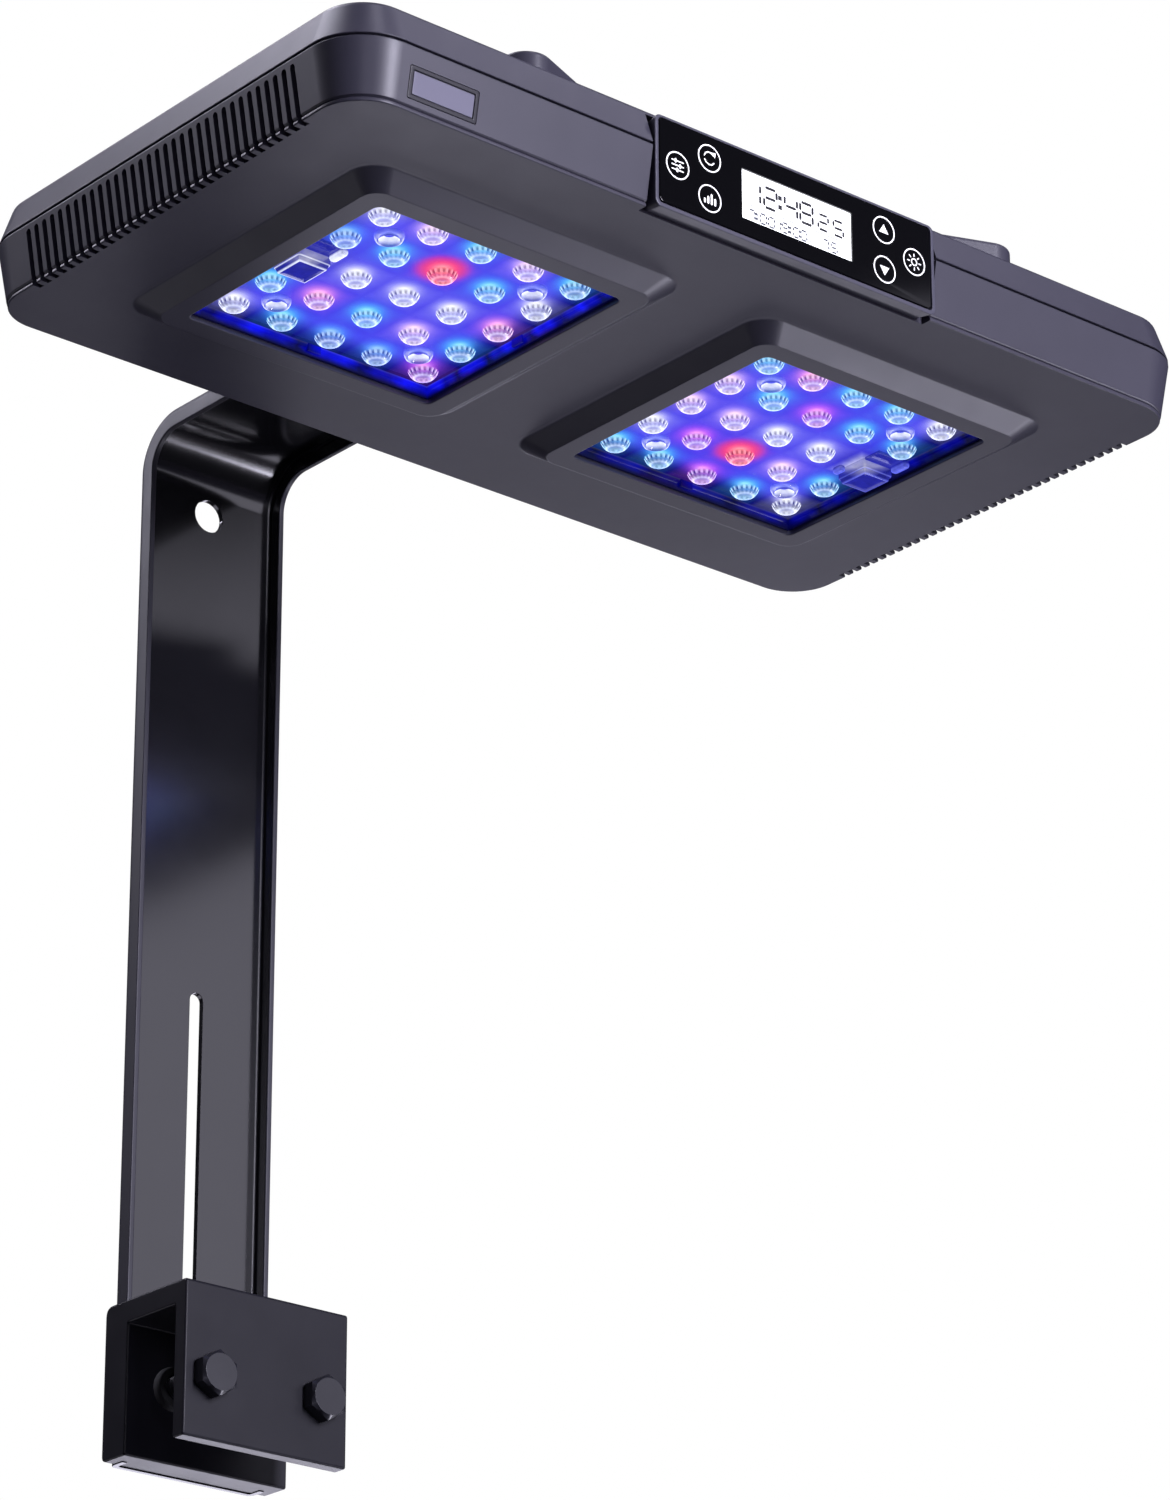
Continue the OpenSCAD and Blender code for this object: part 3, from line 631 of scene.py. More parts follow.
def badge():
    """A blank plate in its rim."""
    bm = bmesh.new()
    half_x, half_y = BADGE[2] / 2 - 0.15, BADGE[3] / 2 - 0.15
    rim = rounded_path([(0.0, -0.7, 0), (0.0, 0.12, 0.2), (1.1, 0.12, 0.15), (1.35, -0.25, 0),
                        (3.0, -0.25, 0)], 3)
    loft(bm, [rect_loop(half_x - i, half_y - i, max(0.7 - i, 0.3), z, steps=4) for i, z in rim])
    plate = rounded_path([(1.55, -0.25, 0), (1.55, 0.02, 0.12), (3.2, 0.02, 0)], 3)
    loft(bm, [rect_loop(half_x - i, half_y - i, 0.35, z, steps=4) for i, z in plate],
         caps=(False, True), material=1)
    bm.transform(badge_frame())
    obj = mesh_object("blank_badge", bm, IN_HEAD, [BADGE_RIM, BADGE_FACE])
    place_piece(obj, "head", ["name_badge"])


# ---------------------------------------------------------------- control panel

FACE_Y = -HEAD_HALF[1]
DISPLAY_Y = 0.62
DIGIT_RISE = 0.05


def panel_loop(half_x, z_low, z_high, radius, y, steps=6):
    """A rounded rectangle facing the front, at depth y."""
    mid, half_z = (z_low + z_high) / 2, (z_high - z_low) / 2
    return [(x, y, mid + z) for x, z, _ in rect_loop(half_x, half_z, radius, 0, steps=steps)]


def panel_frame():
    """The bezel: a bright front edge on a dark body."""
    bm = bmesh.new()
    path = rounded_path([
        (1.2, FACE_Y + PANEL_DEPTH, 0), (0.0, FACE_Y, 0.45), (1.35, FACE_Y, 0.2),
        (1.6, FACE_Y + 1.7, 0), (4.5, FACE_Y + 1.7, 0), (4.5, FACE_Y + PANEL_DEPTH, 0)], 4)
    loops = []
    for inset, y in path:
        low = PANEL[1] + inset
        high = PANEL[2] - (inset if inset < 0.9 else 0.9 + (inset - 1.35) * 0.8)
        loops.append(panel_loop(PANEL[0] - inset, low, high, max(2.3 - inset * 0.6, 0.4), y))
    loft(bm, loops, closed=True)
    for face in bm.faces:
        face.material_index = 1 if face.calc_center_median().y > FACE_Y + 0.3 else 0
    obj = mesh_object("panel_bezel", bm, IN_HEAD, [TRIM, HOUSING])
    place_piece(obj, "head", ["panel_frame"])


def panel_glass():
    """Black-printed glass with a clear window left open over the display."""
    bm = bmesh.new()
    outer = [(0.12, FACE_Y + 1.5), (0.12, FACE_Y + 0.22), (0.24, FACE_Y + 0.1)]
    loops = [panel_loop(GLASS[0] - i, GLASS[1] + i, GLASS[2] - i, 1.6, y) for i, y in outer]
    window = panel_loop(DISPLAY[0], DISPLAY[1], DISPLAY[2], 0.25, FACE_Y + 0.1)
    loops.append(window)
    loops.append([(x, FACE_Y + 1.5, z) for x, _, z in window])
    loft(bm, loops, closed=True)
    obj = mesh_object("printed_glass", bm, IN_HEAD, [BLACK_GLASS])
    place_piece(obj, "head", ["panel_glass"])


def front_prism(bm, outline, depth=0.06, base=0.1, material=0):
    """A thin raised print on the panel, from a front-view outline."""
    loft(bm, [[(x, FACE_Y + y, z) for x, z in outline] for y in (base, base - depth)],
         material=material)


def ring_print(bm, x, z, radius, line):
    """A printed ring on the panel."""
    loops = []
    for r, y in ((radius, 0.1), (radius, 0.04), (radius - line, 0.04), (radius - line, 0.1)):
        loops.append([(x + r * math.cos(a), FACE_Y + y, z + r * math.sin(a))
                      for a in (2 * math.pi * k / 48 for k in range(48))])
    loft(bm, loops, closed=True)


def bar_print(bm, x0, z0, x1, z1, width, material=0, depth=0.06, base=0.1):
    """A straight stroke with pointed ends."""
    d = Vector((x1 - x0, z1 - z0))
    u = d.normalized() * width / 2
    n = Vector((-u.y, u.x))
    a, b = Vector((x0, z0)), Vector((x1, z1))
    outline = [a + n, a - u * 0.7, a - n, b - n, b + u * 0.7, b + n]
    front_prism(bm, [tuple(p) for p in outline], depth, base, material)


def key_symbols():
    """Ringed touch keys with plain pictograms: settings, loop, channels, up, down, lamp."""
    bm = bmesh.new()
    keys = {"settings": (-47.8, 15.5), "loop": (-35.2, 22.3), "channels": (-35.2, 8.8),
            "up": (35.5, 22.3), "down": (35.5, 8.8), "lamp": (48.0, 15.5)}
    for x, z in keys.values():
        ring_print(bm, x, z, 4.55, 0.45)
    x, z = keys["settings"]
    for k, knob in enumerate((-0.8, 1.0, -0.2)):
        row = z + 1.5 - 1.5 * k
        bar_print(bm, x - 2.3, row, x + 2.3, row, 0.4)
        bar_print(bm, x + knob, row - 0.55, x + knob, row + 0.55, 0.7)
    x, z = keys["loop"]
    for k in range(9):
        a, b = math.radians(40 + 32 * k), math.radians(40 + 32 * (k + 1))
        if k != 4:
            bar_print(bm, x + 2.1 * math.cos(a), z + 2.1 * math.sin(a),
                      x + 2.1 * math.cos(b), z + 2.1 * math.sin(b), 0.42)
    front_prism(bm, [(x + 0.7, z + 2.2), (x + 2.5, z + 2.5), (x + 2.2, z + 0.7)])
    x, z = keys["channels"]
    for k, height in enumerate((1.2, 2.2, 3.2, 2.0)):
        bar_print(bm, x - 2.0 + 1.35 * k, z - 1.7, x - 2.0 + 1.35 * k, z - 1.7 + height, 0.75)
    for name, s in (("up", 1), ("down", -1)):
        x, z = keys[name]
        front_prism(bm, [(x - 1.9, z - 1.0 * s), (x, z + 2.0 * s), (x + 1.9, z - 1.0 * s)])
    x, z = keys["lamp"]
    for k in range(8):
        a = math.radians(45 * k)
        bar_print(bm, x + 1.9 * math.cos(a), z + 1.9 * math.sin(a),
                  x + 2.8 * math.cos(a), z + 2.8 * math.sin(a), 0.4)
    ring_print(bm, x, z, 1.3, 0.42)
    obj = mesh_object("key_symbols", bm, IN_HEAD, [INK])
    place_piece(obj, "head")


SEGMENTS = {"0": "abcdef", "1": "bc", "2": "abged", "3": "abgcd", "4": "fgbc", "5": "afgcd",
            "6": "afgedc", "7": "abc", "8": "abcdefg", "9": "abcdfg"}


def digit(bm, char, x, z, w, h, stroke, material):
    """A seven-segment digit whose lower left corner is at x, z."""
    g = stroke * 0.75
    m = z + h / 2
    ends = {"a": (x + g, z + h, x + w - g, z + h), "d": (x + g, z, x + w - g, z),
            "g": (x + g, m, x + w - g, m), "f": (x, m + g, x, z + h - g),
            "b": (x + w, m + g, x + w, z + h - g), "e": (x, z + g, x, m - g),
            "c": (x + w, z + g, x + w, m - g)}
    for name in SEGMENTS[char]:
        bar_print(bm, *ends[name], stroke, material, DIGIT_RISE, DISPLAY_Y)


def digits(bm, text, x, z, w, h, step, stroke, material):
    """A row of digits; a colon takes less than half a step."""
    for char in text:
        if char == ":":
            for up in (0.28, 0.74):
                s = stroke * 0.75
                front_prism(bm, [(x - s, z + up * h - s), (x + s, z + up * h - s),
                                 (x + s, z + up * h + s), (x - s, z + up * h + s)],
                            DIGIT_RISE, DISPLAY_Y, material)
            x += step * 0.42
        else:
            digit(bm, char, x, z, w, h, stroke, material)
            x += step


def display():
    """The lit face, and a clock, two switching times and a level printed on it."""
    bm = bmesh.new()
    loft(bm, [panel_loop(DISPLAY[0] + 1.2, DISPLAY[1] - 1.2, DISPLAY[2] + 1.2, 0.4, y)
              for y in (FACE_Y + DISPLAY_Y, FACE_Y + 5.0)])
    obj = mesh_object("display_face", bm, IN_HEAD, [DISPLAY_LIGHT])
    place_piece(obj, "head", ["lcd_module"])
    bm = bmesh.new()
    # Text, x, z, width, height, step, stroke, material
    for row in (("12", -19.6, 13.95, 5.0, 6.75, 6.6, 0.95, 0),
                (":", -6.6, 13.95, 5.0, 6.75, 5.9, 1.0, 0),
                ("48", -4.7, 13.95, 5.0, 6.75, 6.3, 0.95, 0),
                ("25", 8.9, 14.1, 4.0, 5.0, 6.2, 0.8, 0),
                ("7:00", -19.4, 7.9, 2.5, 3.2, 3.3, 0.6, 1),
                ("19:00", -8.9, 7.9, 2.4, 3.2, 3.1, 0.6, 1),
                ("75", 10.6, 7.9, 2.4, 3.2, 3.4, 0.6, 1)):
        digits(bm, *row)
    rules = ((-22.0, 12.55, 5.1, 12.55), (5.5, 12.2, 5.5, 7.6), (6.8, 12.7, 18.7, 12.7),
             (19.2, 12.2, 19.2, 7.6), (6.3, 12.2, 6.3, 7.6))
    for rule in rules:
        bar_print(bm, *rule, 0.22, 1, DIGIT_RISE, DISPLAY_Y)
    obj = mesh_object("display_digits", bm, IN_HEAD, [DISPLAY_INK, DISPLAY_FAINT])
    place_piece(obj, "head")


# ---------------------------------------------------------------- light windows

LAMP_COLORS = {
    "W": (0.92, 0.92, 1.00), "L": (0.95, 0.62, 0.98), "P": (1.00, 0.30, 0.70),
    "M": (0.75, 0.10, 0.85), "C": (0.06, 0.62, 1.00), "B": (0.08, 0.40, 1.00),
    "R": (1.00, 0.03, 0.06)}
# Columns from left to right, each from front to rear; a dot is the cell with the plug
LAMPS = {-1: ("WB.CW", "LCWPC", "CRWCB", "LCWLB", "CWPCM"),
         1: ("CLLWC", "PCLMC", "CMWRM", "CCWLC", "WC.CW")}
HALO = {"W": 12.5, "L": 14.0, "P": 17.0, "M": 18.0, "C": 17.0, "B": 17.0, "R": 26.0}
# The right window's skirt has dimmer painted light, and the painted light on its film fades more
# towards the right and rear edges
SKIRT_LEVEL = {-1: 1.0, 1: 0.32}
FADE_DEPTH = {-1: 0.55, 1: 0.85}
FADE_FROM = 35.0
FADE_OVER = 9.5
SHEET_LOW = 0.3
SHEET_HIGH = 1.5
FILM_Z = 1.75
FLUTES = 16
BOSS_AT = 1.5 * PITCH
# The way the photograph's camera looks, seen from above
CAMERA_WAY = (0.646, 0.764)


def lamp_cells(side):
    """Place and letter of each cell of a window."""
    for i, column in enumerate(LAMPS[side]):
        for j, letter in enumerate(column):
            yield (i - 2) * PITCH, (j - 2) * PITCH, letter


def glow_at(side, x, y):
    """Painted light on the film behind the lenses: a violet wash that darkens towards the edges, a
    halo with a white centre round each lamp, and painted shade round the plug's cell.
    """
    reach = max(abs(x), abs(y))
    fade = min(max((reach - 34.0) / 11.0, 0.0), 1.0)
    color = Vector((0.052, 0.038, 0.82)).lerp(Vector((0.003, 0.004, 0.30)), fade)
    for lx, ly, letter in lamp_cells(side):
        d2 = (x - lx) ** 2 + (y - ly) ** 2
        # Painted shade round the cell with the plug, under its cap.
        if letter == ".":
            color *= 1 - 0.6 * math.exp(-d2 / 90.0)
            continue
        hue = Vector(LAMP_COLORS[letter])
        if letter == "R":
            color = color.lerp(Vector((0.72, 0.03, 0.22)), 0.95 * math.exp((-d2 / 62.0) ** 3))
        color += hue * 0.06 * math.exp(-d2 / 60.0)
        core = math.exp(-d2 / HALO[letter])
        color = color.lerp(hue * 1.25, 0.9 * core) + Vector((0.5, 0.5, 0.5)) * core ** 4
    # The painted light fades further towards the right and rear edges.
    edge = min(max((max(x, y) - FADE_FROM) / FADE_OVER, 0.0), 1.0)
    dim = 1 - FADE_DEPTH[side] * edge * edge * (3 - 2 * edge)
    return Vector((color[0] * dim * dim, color[1] * dim * dim, color[2] * dim))


def bowl_paint(letter, z, groove):
    """Painted light and cover of a bowl at height z: the lamp's light at the rim, a belt of painted
    highlights on the teeth with painted shade in the grooves, a pale crescent of painted highlight,
    and a deep blue foot.
    """
    hue = Vector(LAMP_COLORS[letter])
    # white is the colour of the painted highlights, deep the painted deep blue light
    white, deep = Vector((0.66, 0.72, 0.95)), Vector((0.02, 0.03, 0.42))
    if letter == "R":
        white, deep = Vector((0.95, 0.50, 0.60)), Vector((0.45, 0.0, 0.08))
    tooth = deep * 0.40 + hue * 0.04 if groove else white * 0.80 + hue * 0.45
    streak = white * (0.55 if groove else 1.15)
    stops = ((0.3, hue * 1.0 + white * 0.1, 0.05),
             (0.0, hue * 0.9 + white * 0.2, 0.25),
             (-0.3, tooth, 0.92),
             (-1.2, tooth, 0.92),
             (-1.45, hue * 0.45 + streak * 0.35, 0.45),
             (-2.0, hue * 0.35 + streak * 0.65, 0.62),
             (-2.5, white * 1.25 + hue * 0.25, 0.95),
             (-2.66, hue * 0.25 + deep * 0.7, 0.80),
             (-2.79, hue * 0.30 + white * 0.35, 0.62))
    for (z0, c0, a0), (z1, c1, a1) in zip(stops, stops[1:]):
        if z >= z1:
            t = min(max((z0 - z) / (z0 - z1), 0.0), 1.0)
            return c0.lerp(c1, t), a0 + (a1 - a0) * t
    return stops[-1][1:]


def cell_patch(bm, layer, cx, cy, letter):
    """One lamp's share of the lens sheet: fluted bowl in front, pocket for the lamp behind."""
    steps, half, rim = 4 * FLUTES, PITCH / 2, 4.75

    def square(k, scale):
        a = 2 * math.pi * k / steps
        c, s = math.cos(a), math.sin(a)
        r = rim + (half / max(abs(c), abs(s)) - rim) * scale
        return cx + r * c, cy + r * s

    def flutes(r, a, z):
        k = round(a * steps / (2 * math.pi))
        depth = 0.30 * max(0.0, min(1.0, (z + 2.0) / 1.0, (0.2 - z) / 0.3))
        return r - depth * (k % 4 > 1)

    front = [[(*square(k, 1), SHEET_LOW) for k in range(steps)]]
    back = [[(*square(k, t), SHEET_HIGH) for k in range(steps)] for t in (1, 0.5)]
    if letter == ".":
        front.append(circle_loop(1.0, SHEET_LOW, steps, (cx, cy)))
        back.append(circle_loop(1.0, SHEET_HIGH, steps, (cx, cy)))
    else:
        bowl = [(4.9, SHEET_LOW), (4.78, 0.12), (4.7, -0.2), (4.5, -0.65), (4.25, -1.1),
                (3.95, -1.5), (3.5, -1.95), (2.9, -2.35), (2.2, -2.62), (1.2, -2.78), (0.3, -2.8)]
        front += [circle_loop(r, z, steps, (cx, cy), flutes if r > 3 else None) for r, z in bowl]
        pocket = [(3.0, SHEET_HIGH), (2.7, 0.9), (2.3, 0.2), (1.4, -0.1), (0.3, -0.2)]
        back += [circle_loop(r, z, steps, (cx, cy)) for r, z in pocket]
    rings = loft(bm, front, caps=(False, True))
    for ring in rings[1:] if letter != "." else ():
        for k, vert in enumerate(ring):
            color, cover = bowl_paint(letter, vert.co.z, k % 4 > 1)
            vert[layer] = (*color, cover)
    # The flat sheet and the pockets behind it get a faint painted blue light.
    for ring in loft(bm, back, caps=(False, True)) + rings[:1]:
        for vert in ring:
            vert[layer] = (0.02, 0.03, 0.60, 0.06)


def paint_clear(verts, layer, stops):
    """Paints (z, colour, cover) bands of painted light, highest first."""
    for vert in verts:
        z = vert.co.z
        band = stops[-1]
        for stop in stops:
            if z >= stop[0]:
                band = stop
                break
        vert[layer] = (*band[1], band[2])


def boss_paint(dx, dy, z):
    """Painted light on a boss: a bright well of painted highlight, a deep blue ring, and two pale
    horns of painted highlight on the side away from the camera.
    """
    r = math.hypot(dx, dy)
    away = (CAMERA_WAY[0] * dx + CAMERA_WAY[1] * dy) / r
    horn = math.exp(-((away - 0.45) / 0.38) ** 2)
    if r < 3.1:
        return (0.80, 0.84, 1.0, 0.9) if away > -0.2 else (0.25, 0.30, 0.95, 0.9)
    if r < 3.7:
        return (*Vector((0.01, 0.02, 0.34)).lerp(Vector((0.5, 0.55, 1.0)), 0.7 * horn), 0.92)
    color = Vector((0.03, 0.05, 0.60)).lerp(Vector((0.92, 0.95, 1.0)), horn)
    return (*color, 0.25 if z > 0 else 0.35 + 0.6 * horn)


def screw_bosses(bm, layer, ox):
    """The four round bosses on the clear sheet."""
    boss = rounded_path([(1.7, 0.35, 0), (1.7, -0.1, 0.1), (3.0, -0.5, 0.3), (3.3, -1.7, 0.3),
                         (3.9, -1.95, 0.5), (4.5, -0.8, 1.0), (4.6, 0.35, 0)], 3)
    before = set(bm.verts)
    for x in (-BOSS_AT, BOSS_AT):
        for y in (-BOSS_AT, BOSS_AT):
            loft(bm, [circle_loop(r, z, 48, (ox + x, y)) for r, z in boss], closed=True)
    # Every boss vertex gets its painted light and painted highlights from boss_paint.
    for vert in set(bm.verts) - before:
        dx = (vert.co.x - ox) - math.copysign(BOSS_AT, vert.co.x - ox)
        dy = vert.co.y - math.copysign(BOSS_AT, vert.co.y)
        vert[layer] = boss_paint(dx, dy, vert.co.z)


def plug_cap(bm, layer, side):
    """The cap over the plug and its bracket, in painted deep blue light with painted highlights along
    the edges, pale on the left, dim on the right.
    """
    px, py = side * WINDOW_X + side * 38.4, 0.7
    # navy is the painted deep blue light in the clear plastic; edge is the painted highlight along
    # its edges
    navy = (0.010, 0.012, 0.26)
    edge = (0.74, 0.78, 1.0) if side < 0 else (0.10, 0.12, 0.70)
    cap = ((0.0, 0.35, navy), (0.0, -2.6, navy), (0.15, -2.9, edge), (0.5, -3.05, navy),
           (0.9, -3.9, navy), (1.05, -4.35, edge), (1.35, -4.5, edge), (1.5, -4.45, navy),
           (3.6, -4.4, navy))
    rings = loft(bm, [rect_loop(6.2 - i, 6.5 - i, max(1.0 - i, 0.2), z, (px, py), 2)
                      for i, z, _ in cap])
    for ring, (_, z, color) in zip(rings, cap):
        for vert in ring:
            vert[layer] = (*color, 0.5 if z > 0 else 0.9)
    before = set(bm.verts)
    block(bm, (px - 6.5, -13.0, -0.7), (px + 5.5, -6.0, 0.35), 0.4)
    if side < 0:
        block(bm, (px - 7.4, -11.0, -1.7), (px - 6.9, -5.4, 0.35), 0.12)
    block(bm, (px + 4.2, -13.4, -2.3), (px + 7.0, -6.4, 0.35), 0.9)
    block(bm, (px - 9.0, 2.6, -1.8), (px - 6.6, 6.6, 0.35), 0.6)
    # The bracket's blocks get the painted deep blue light above and the painted edge highlight below.
    paint_clear(set(bm.verts) - before, layer, ((-0.9, navy, 0.75), (-9, edge, 0.9)))


def lens_array(side):
    """One clear moulding: 24 fluted bowls on a sheet, with its bosses and the plug's cap."""
    bm = bmesh.new()
    layer = bm.verts.layers.float_color.new("glow")
    for x, y, letter in lamp_cells(side):
        cell_patch(bm, layer, side * WINDOW_X + x, y, letter)
    bmesh.ops.remove_doubles(bm, verts=bm.verts, dist=0.002)
    rim = [e for e in bm.edges if e.is_boundary]
    bmesh.ops.bridge_loops(bm, edges=rim)
    screw_bosses(bm, layer, side * WINDOW_X)
    plug_cap(bm, layer, side)
    obj = mesh_object("lens_sheet_" + SIDES[side], bm, IN_HEAD, [LENS])
    place_piece(obj, "head", ["lens_array_" + SIDES[side]], 24)


def glow_film(side):
    """A thin sheet laid on the light board that glows with painted light: the light that falls on the
    board.
    """
    bm = bmesh.new()
    layer = bm.verts.layers.float_color.new("glow")
    half, count = 46.4, 80
    ox = side * WINDOW_X
    for z in (FILM_Z, FILM_Z + 0.2):
        rows = [[bm.verts.new((ox + half * (2 * i / count - 1), half * (2 * j / count - 1), z))
                 for i in range(count + 1)] for j in range(count + 1)]
        for j in range(count):
            for i in range(count):
                bm.faces.new((rows[j][i], rows[j][i + 1], rows[j + 1][i + 1], rows[j + 1][i]))
    bmesh.ops.bridge_loops(bm, edges=[e for e in bm.edges if e.is_boundary])
    for vert in bm.verts:
        vert[layer] = (*glow_at(side, vert.co.x - ox, vert.co.y), 1)
    obj = mesh_object("glow_film_" + SIDES[side], bm, IN_HEAD, [FILM])
    place_piece(obj, "head")


def led_packages(side):
    """Square white lamps, each with a small lit dome in its own colour."""
    bm = bmesh.new()
    layer = bm.verts.layers.float_color.new("glow")
    for x, y, letter in lamp_cells(side):
        if letter == ".":
            continue
        before = set(bm.verts)
        cx = side * WINDOW_X + x
        block(bm, (cx - 1.75, y - 1.75, 1.9), (cx + 1.75, y + 1.75, 7.6), 0.15)
        dome = [(1.45, 2.0), (1.4, 1.7), (1.1, 1.4), (0.6, 1.22), (0.05, 1.18)]
        lathe(bm, dome, 24, (cx, y), material=1)
        for vert in set(bm.verts) - before:
            vert[layer] = (*(0.25 + 0.75 * part for part in LAMP_COLORS[letter]), 1)
    obj = mesh_object("led_packages_" + SIDES[side], bm, IN_HEAD, [CERAMIC, LED_LIGHT])
    place_piece(obj, "head", ["led_emitters_" + SIDES[side]])


def square_loop(half, z, ox, steps=30):
    """A square with points along its sides, so that light can be painted along them."""
    corners = ((1, 1), (-1, 1), (-1, -1), (1, -1))
    loop = []
    for (sx, sy), (nx, ny) in zip(corners, corners[1:] + corners[:1]):
        for step in range(steps):
            t = step / steps
            loop.append((ox + half * (sx * (1 - t) + nx * t), half * (sy * (1 - t) + ny * t), z))
    return loop


def lens_skirt(side):
    """The lens's upstanding edge inside the opening, glowing with painted deep blue light, with a
    clip per side.
    """
    bm = bmesh.new()
    layer = bm.verts.layers.float_color.new("glow")
    ox = side * WINDOW_X
    path = [(46.6, 4.6), (46.6, 0.2), (46.6, -1.4), (46.5, -2.8), (46.3, -3.1), (45.8, -3.1),
            (45.6, -2.8), (45.5, -1.4), (45.3, -1.1), (44.7, -0.9), (44.6, -0.3), (44.5, 0.28),
            (44.6, 0.5), (45.2, 4.6)]
    loft(bm, [square_loop(half, z, ox) for half, z in path], closed=True)
    for side_x, side_y in ((1, 0), (-1, 0), (0, 1), (0, -1)):
        cx, cy = ox + side_x * 44.9, side_y * 44.9
        wide = (0.7, 2.6) if side_x else (2.6, 0.7)
        block(bm, (cx - wide[0], cy - wide[1], -2.2), (cx + wide[0], cy + wide[1], 0.4), 0.25)
    # Painted light: deep blue streaks along the edge that brighten upwards, a thin painted highlight
    # line, and a dim top face.
    for vert in bm.verts:
        x, y, z = vert.co
        along = x + 1.7 * y
        wave = 0.5 + 0.3 * math.sin(0.21 * along) + 0.2 * math.sin(0.53 * along + 1.0)
        up = max(0.0, min(1.0, (z + 3.0) / 2.0))
        level = 0.02 + SKIRT_LEVEL[side] * wave * up
        line = 0.03 if 0.2 < z < 0.29 else 0.0
        if z > 0.29:
            level = 0.1
        vert[layer] = (0.004 * level + line, 0.006 * level + line, level, 1)
    obj = mesh_object("lens_skirt_" + SIDES[side], bm, IN_HEAD, [SKIRT])
    place_piece(obj, "head")


def light_window(side):
    """Lens, film, LEDs and skirt of one window; side is -1 on the left, 1 on the right."""
    lens_array(side)
    glow_film(side)
    led_packages(side)
    lens_skirt(side)


# ---------------------------------------------------------------- arm

def channel_section():
    """Outline of the bent channel as (across, depth from the outer face), rounded at its bends."""
    w, h, t = ARM_W / 2, ARM_H, SHEET
    half = rounded_path([(0.0, 0.0, 0), (w, 0.0, 2.9), (w, h, 0.5), (w - t, h, 0.5),
                         (w - t, t, 1.2), (0.0, t, 0)], 6)
    right = half[1:-1]
    left = [(-x, d) for x, d in reversed(right)]
    return right + left


def arm_path(depth):
    """Places of the arm's path, from the foot up, round the bend and forward."""
    cy, cz = ARM_Y - BEND_R, ARM_TOP - BEND_R
    points = [(ARM_Y - depth, z) for z in (ARM_LOW, ARM_LOW + 1, 60.0, 150.0, 240.0, cz)]
    for k in range(1, 24):
        a = math.radians(90 * k / 24)
        points.append((cy + (BEND_R - depth) * math.cos(a), cz + (BEND_R - depth) * math.sin(a)))
    points += [(y, ARM_TOP - depth) for y in (cy, -60.0, -140.0, ARM_END + 1, ARM_END)]
    return points


def slot_cutter(bm, length, width, place):
    """A slot with round ends, long along +Y before it is placed."""
    r = width / 2
    outline = []
    for end in (1, -1):
        for k in range(13):
            a = math.pi * k / 12 + (0 if end > 0 else math.pi)
            outline.append((r * math.cos(a), end * (length / 2 - r) + r * math.sin(a)))
    before = set(bm.verts)
    loft(bm, [[(x, y, z) for x, y in outline] for z in (-5, 5)])
    shift_new(bm, before, place)


def arm():
    """The bent channel: glossy web, satin outer faces painted lighter for the light they catch,
    duller inner fillets.
    """
    section = channel_section()
    tracks = [arm_path(d) for _, d in section]
    bm = bmesh.new()
    loops = [[(x, *tracks[k][step]) for k, (x, _) in enumerate(section)]
             for step in range(len(tracks[0]))]
    loft(bm, loops)
    ring = list(zip(section, section[1:] + section[:1]))
    bm.faces.ensure_lookup_table()
    for k in range(len(ring) * (len(loops) - 1)):
        (x0, d0), (x1, d1) = ring[k % len(ring)]
        outside = abs(x0 + x1) / 2 > ARM_W / 2 - SHEET + 0.01 or (d0 + d1) / 2 < SHEET - 0.01
        fillet = x0 != x1 and d0 != d1
        bm.faces[k].material_index = 1 if outside else 2 * fillet
    obj = mesh_object("channel_arm", bm, IN_PART, [ARM_COAT, ARM_SIDE_LIT, ARM_FILLET])
    holes = bmesh.new()
    upright = Matrix.Rotation(math.pi / 2, 4, "X")
    for length, width, middle in (LOCK_SLOT, CABLE_HOLE):
        place = Matrix.Translation((0, ARM_Y - 1, middle)) @ upright
        slot_cutter(holes, length, width, place)
    length, width, middle = REACH_SLOT
    slot_cutter(holes, length, width, Matrix.Translation((0, middle, ARM_TOP - 1)))
    combine(obj, mesh_object("slot_cutter", holes, IN_PART))
    soften(obj, 0.35, 2, 60)
    place_piece(obj, "arm", ["arm"], 35)


# ---------------------------------------------------------------- clamp

def clamp():
    """The thick inverted U that hooks over the rim; its rear leg has lips round the arm."""
    top, low, g = CLAMP_TOP, CLAMP_LOW, CLAMP_GAP / 2
    outline = rounded_path([
        (0, top, 0), (CLAMP_REAR, top, 3.4), (CLAMP_REAR, low, 1.8), (g, low, 0.9), (g, 0, 0.8),
        (-g, 0, 0.8), (-g, low, 0.9), (CLAMP_FRONT, low, 0.9), (CLAMP_FRONT, top, 1.2),
        (0.0, top, 0)], 5)[:-1]
    bm = bmesh.new()
    loft(bm, [[(x, y, z) for y, z in outline] for x in (-CLAMP_HALF, CLAMP_HALF)])
    obj = mesh_object("rim_clamp", bm, IN_PART, [CLAMP_COAT])
    holes = bmesh.new()
    block(holes, (-28.2, g + 5.95, low - 5), (28.2, CLAMP_REAR + 5, top + 5), 0.1)
    for side in (-1, 1):
        before = set(holes.verts)
        lathe(holes, [(4.05, -30), (4.05, 0)], 40)
        shift_new(holes, before, along_y(side * BOLT_AT[0], 0, BOLT_AT[1]))
    for z in LOCK_Z:
        before = set(holes.verts)
        lathe(holes, [(2.55, 0), (2.55, 30)], 40)
        shift_new(holes, before, along_y(0, 5, z))
    combine(obj, mesh_object("bolt_hole_cutter", holes, IN_PART))
    soften(obj, 0.7, 3, 60)
    place_piece(obj, "clamp", ["clamp_body"], 40)


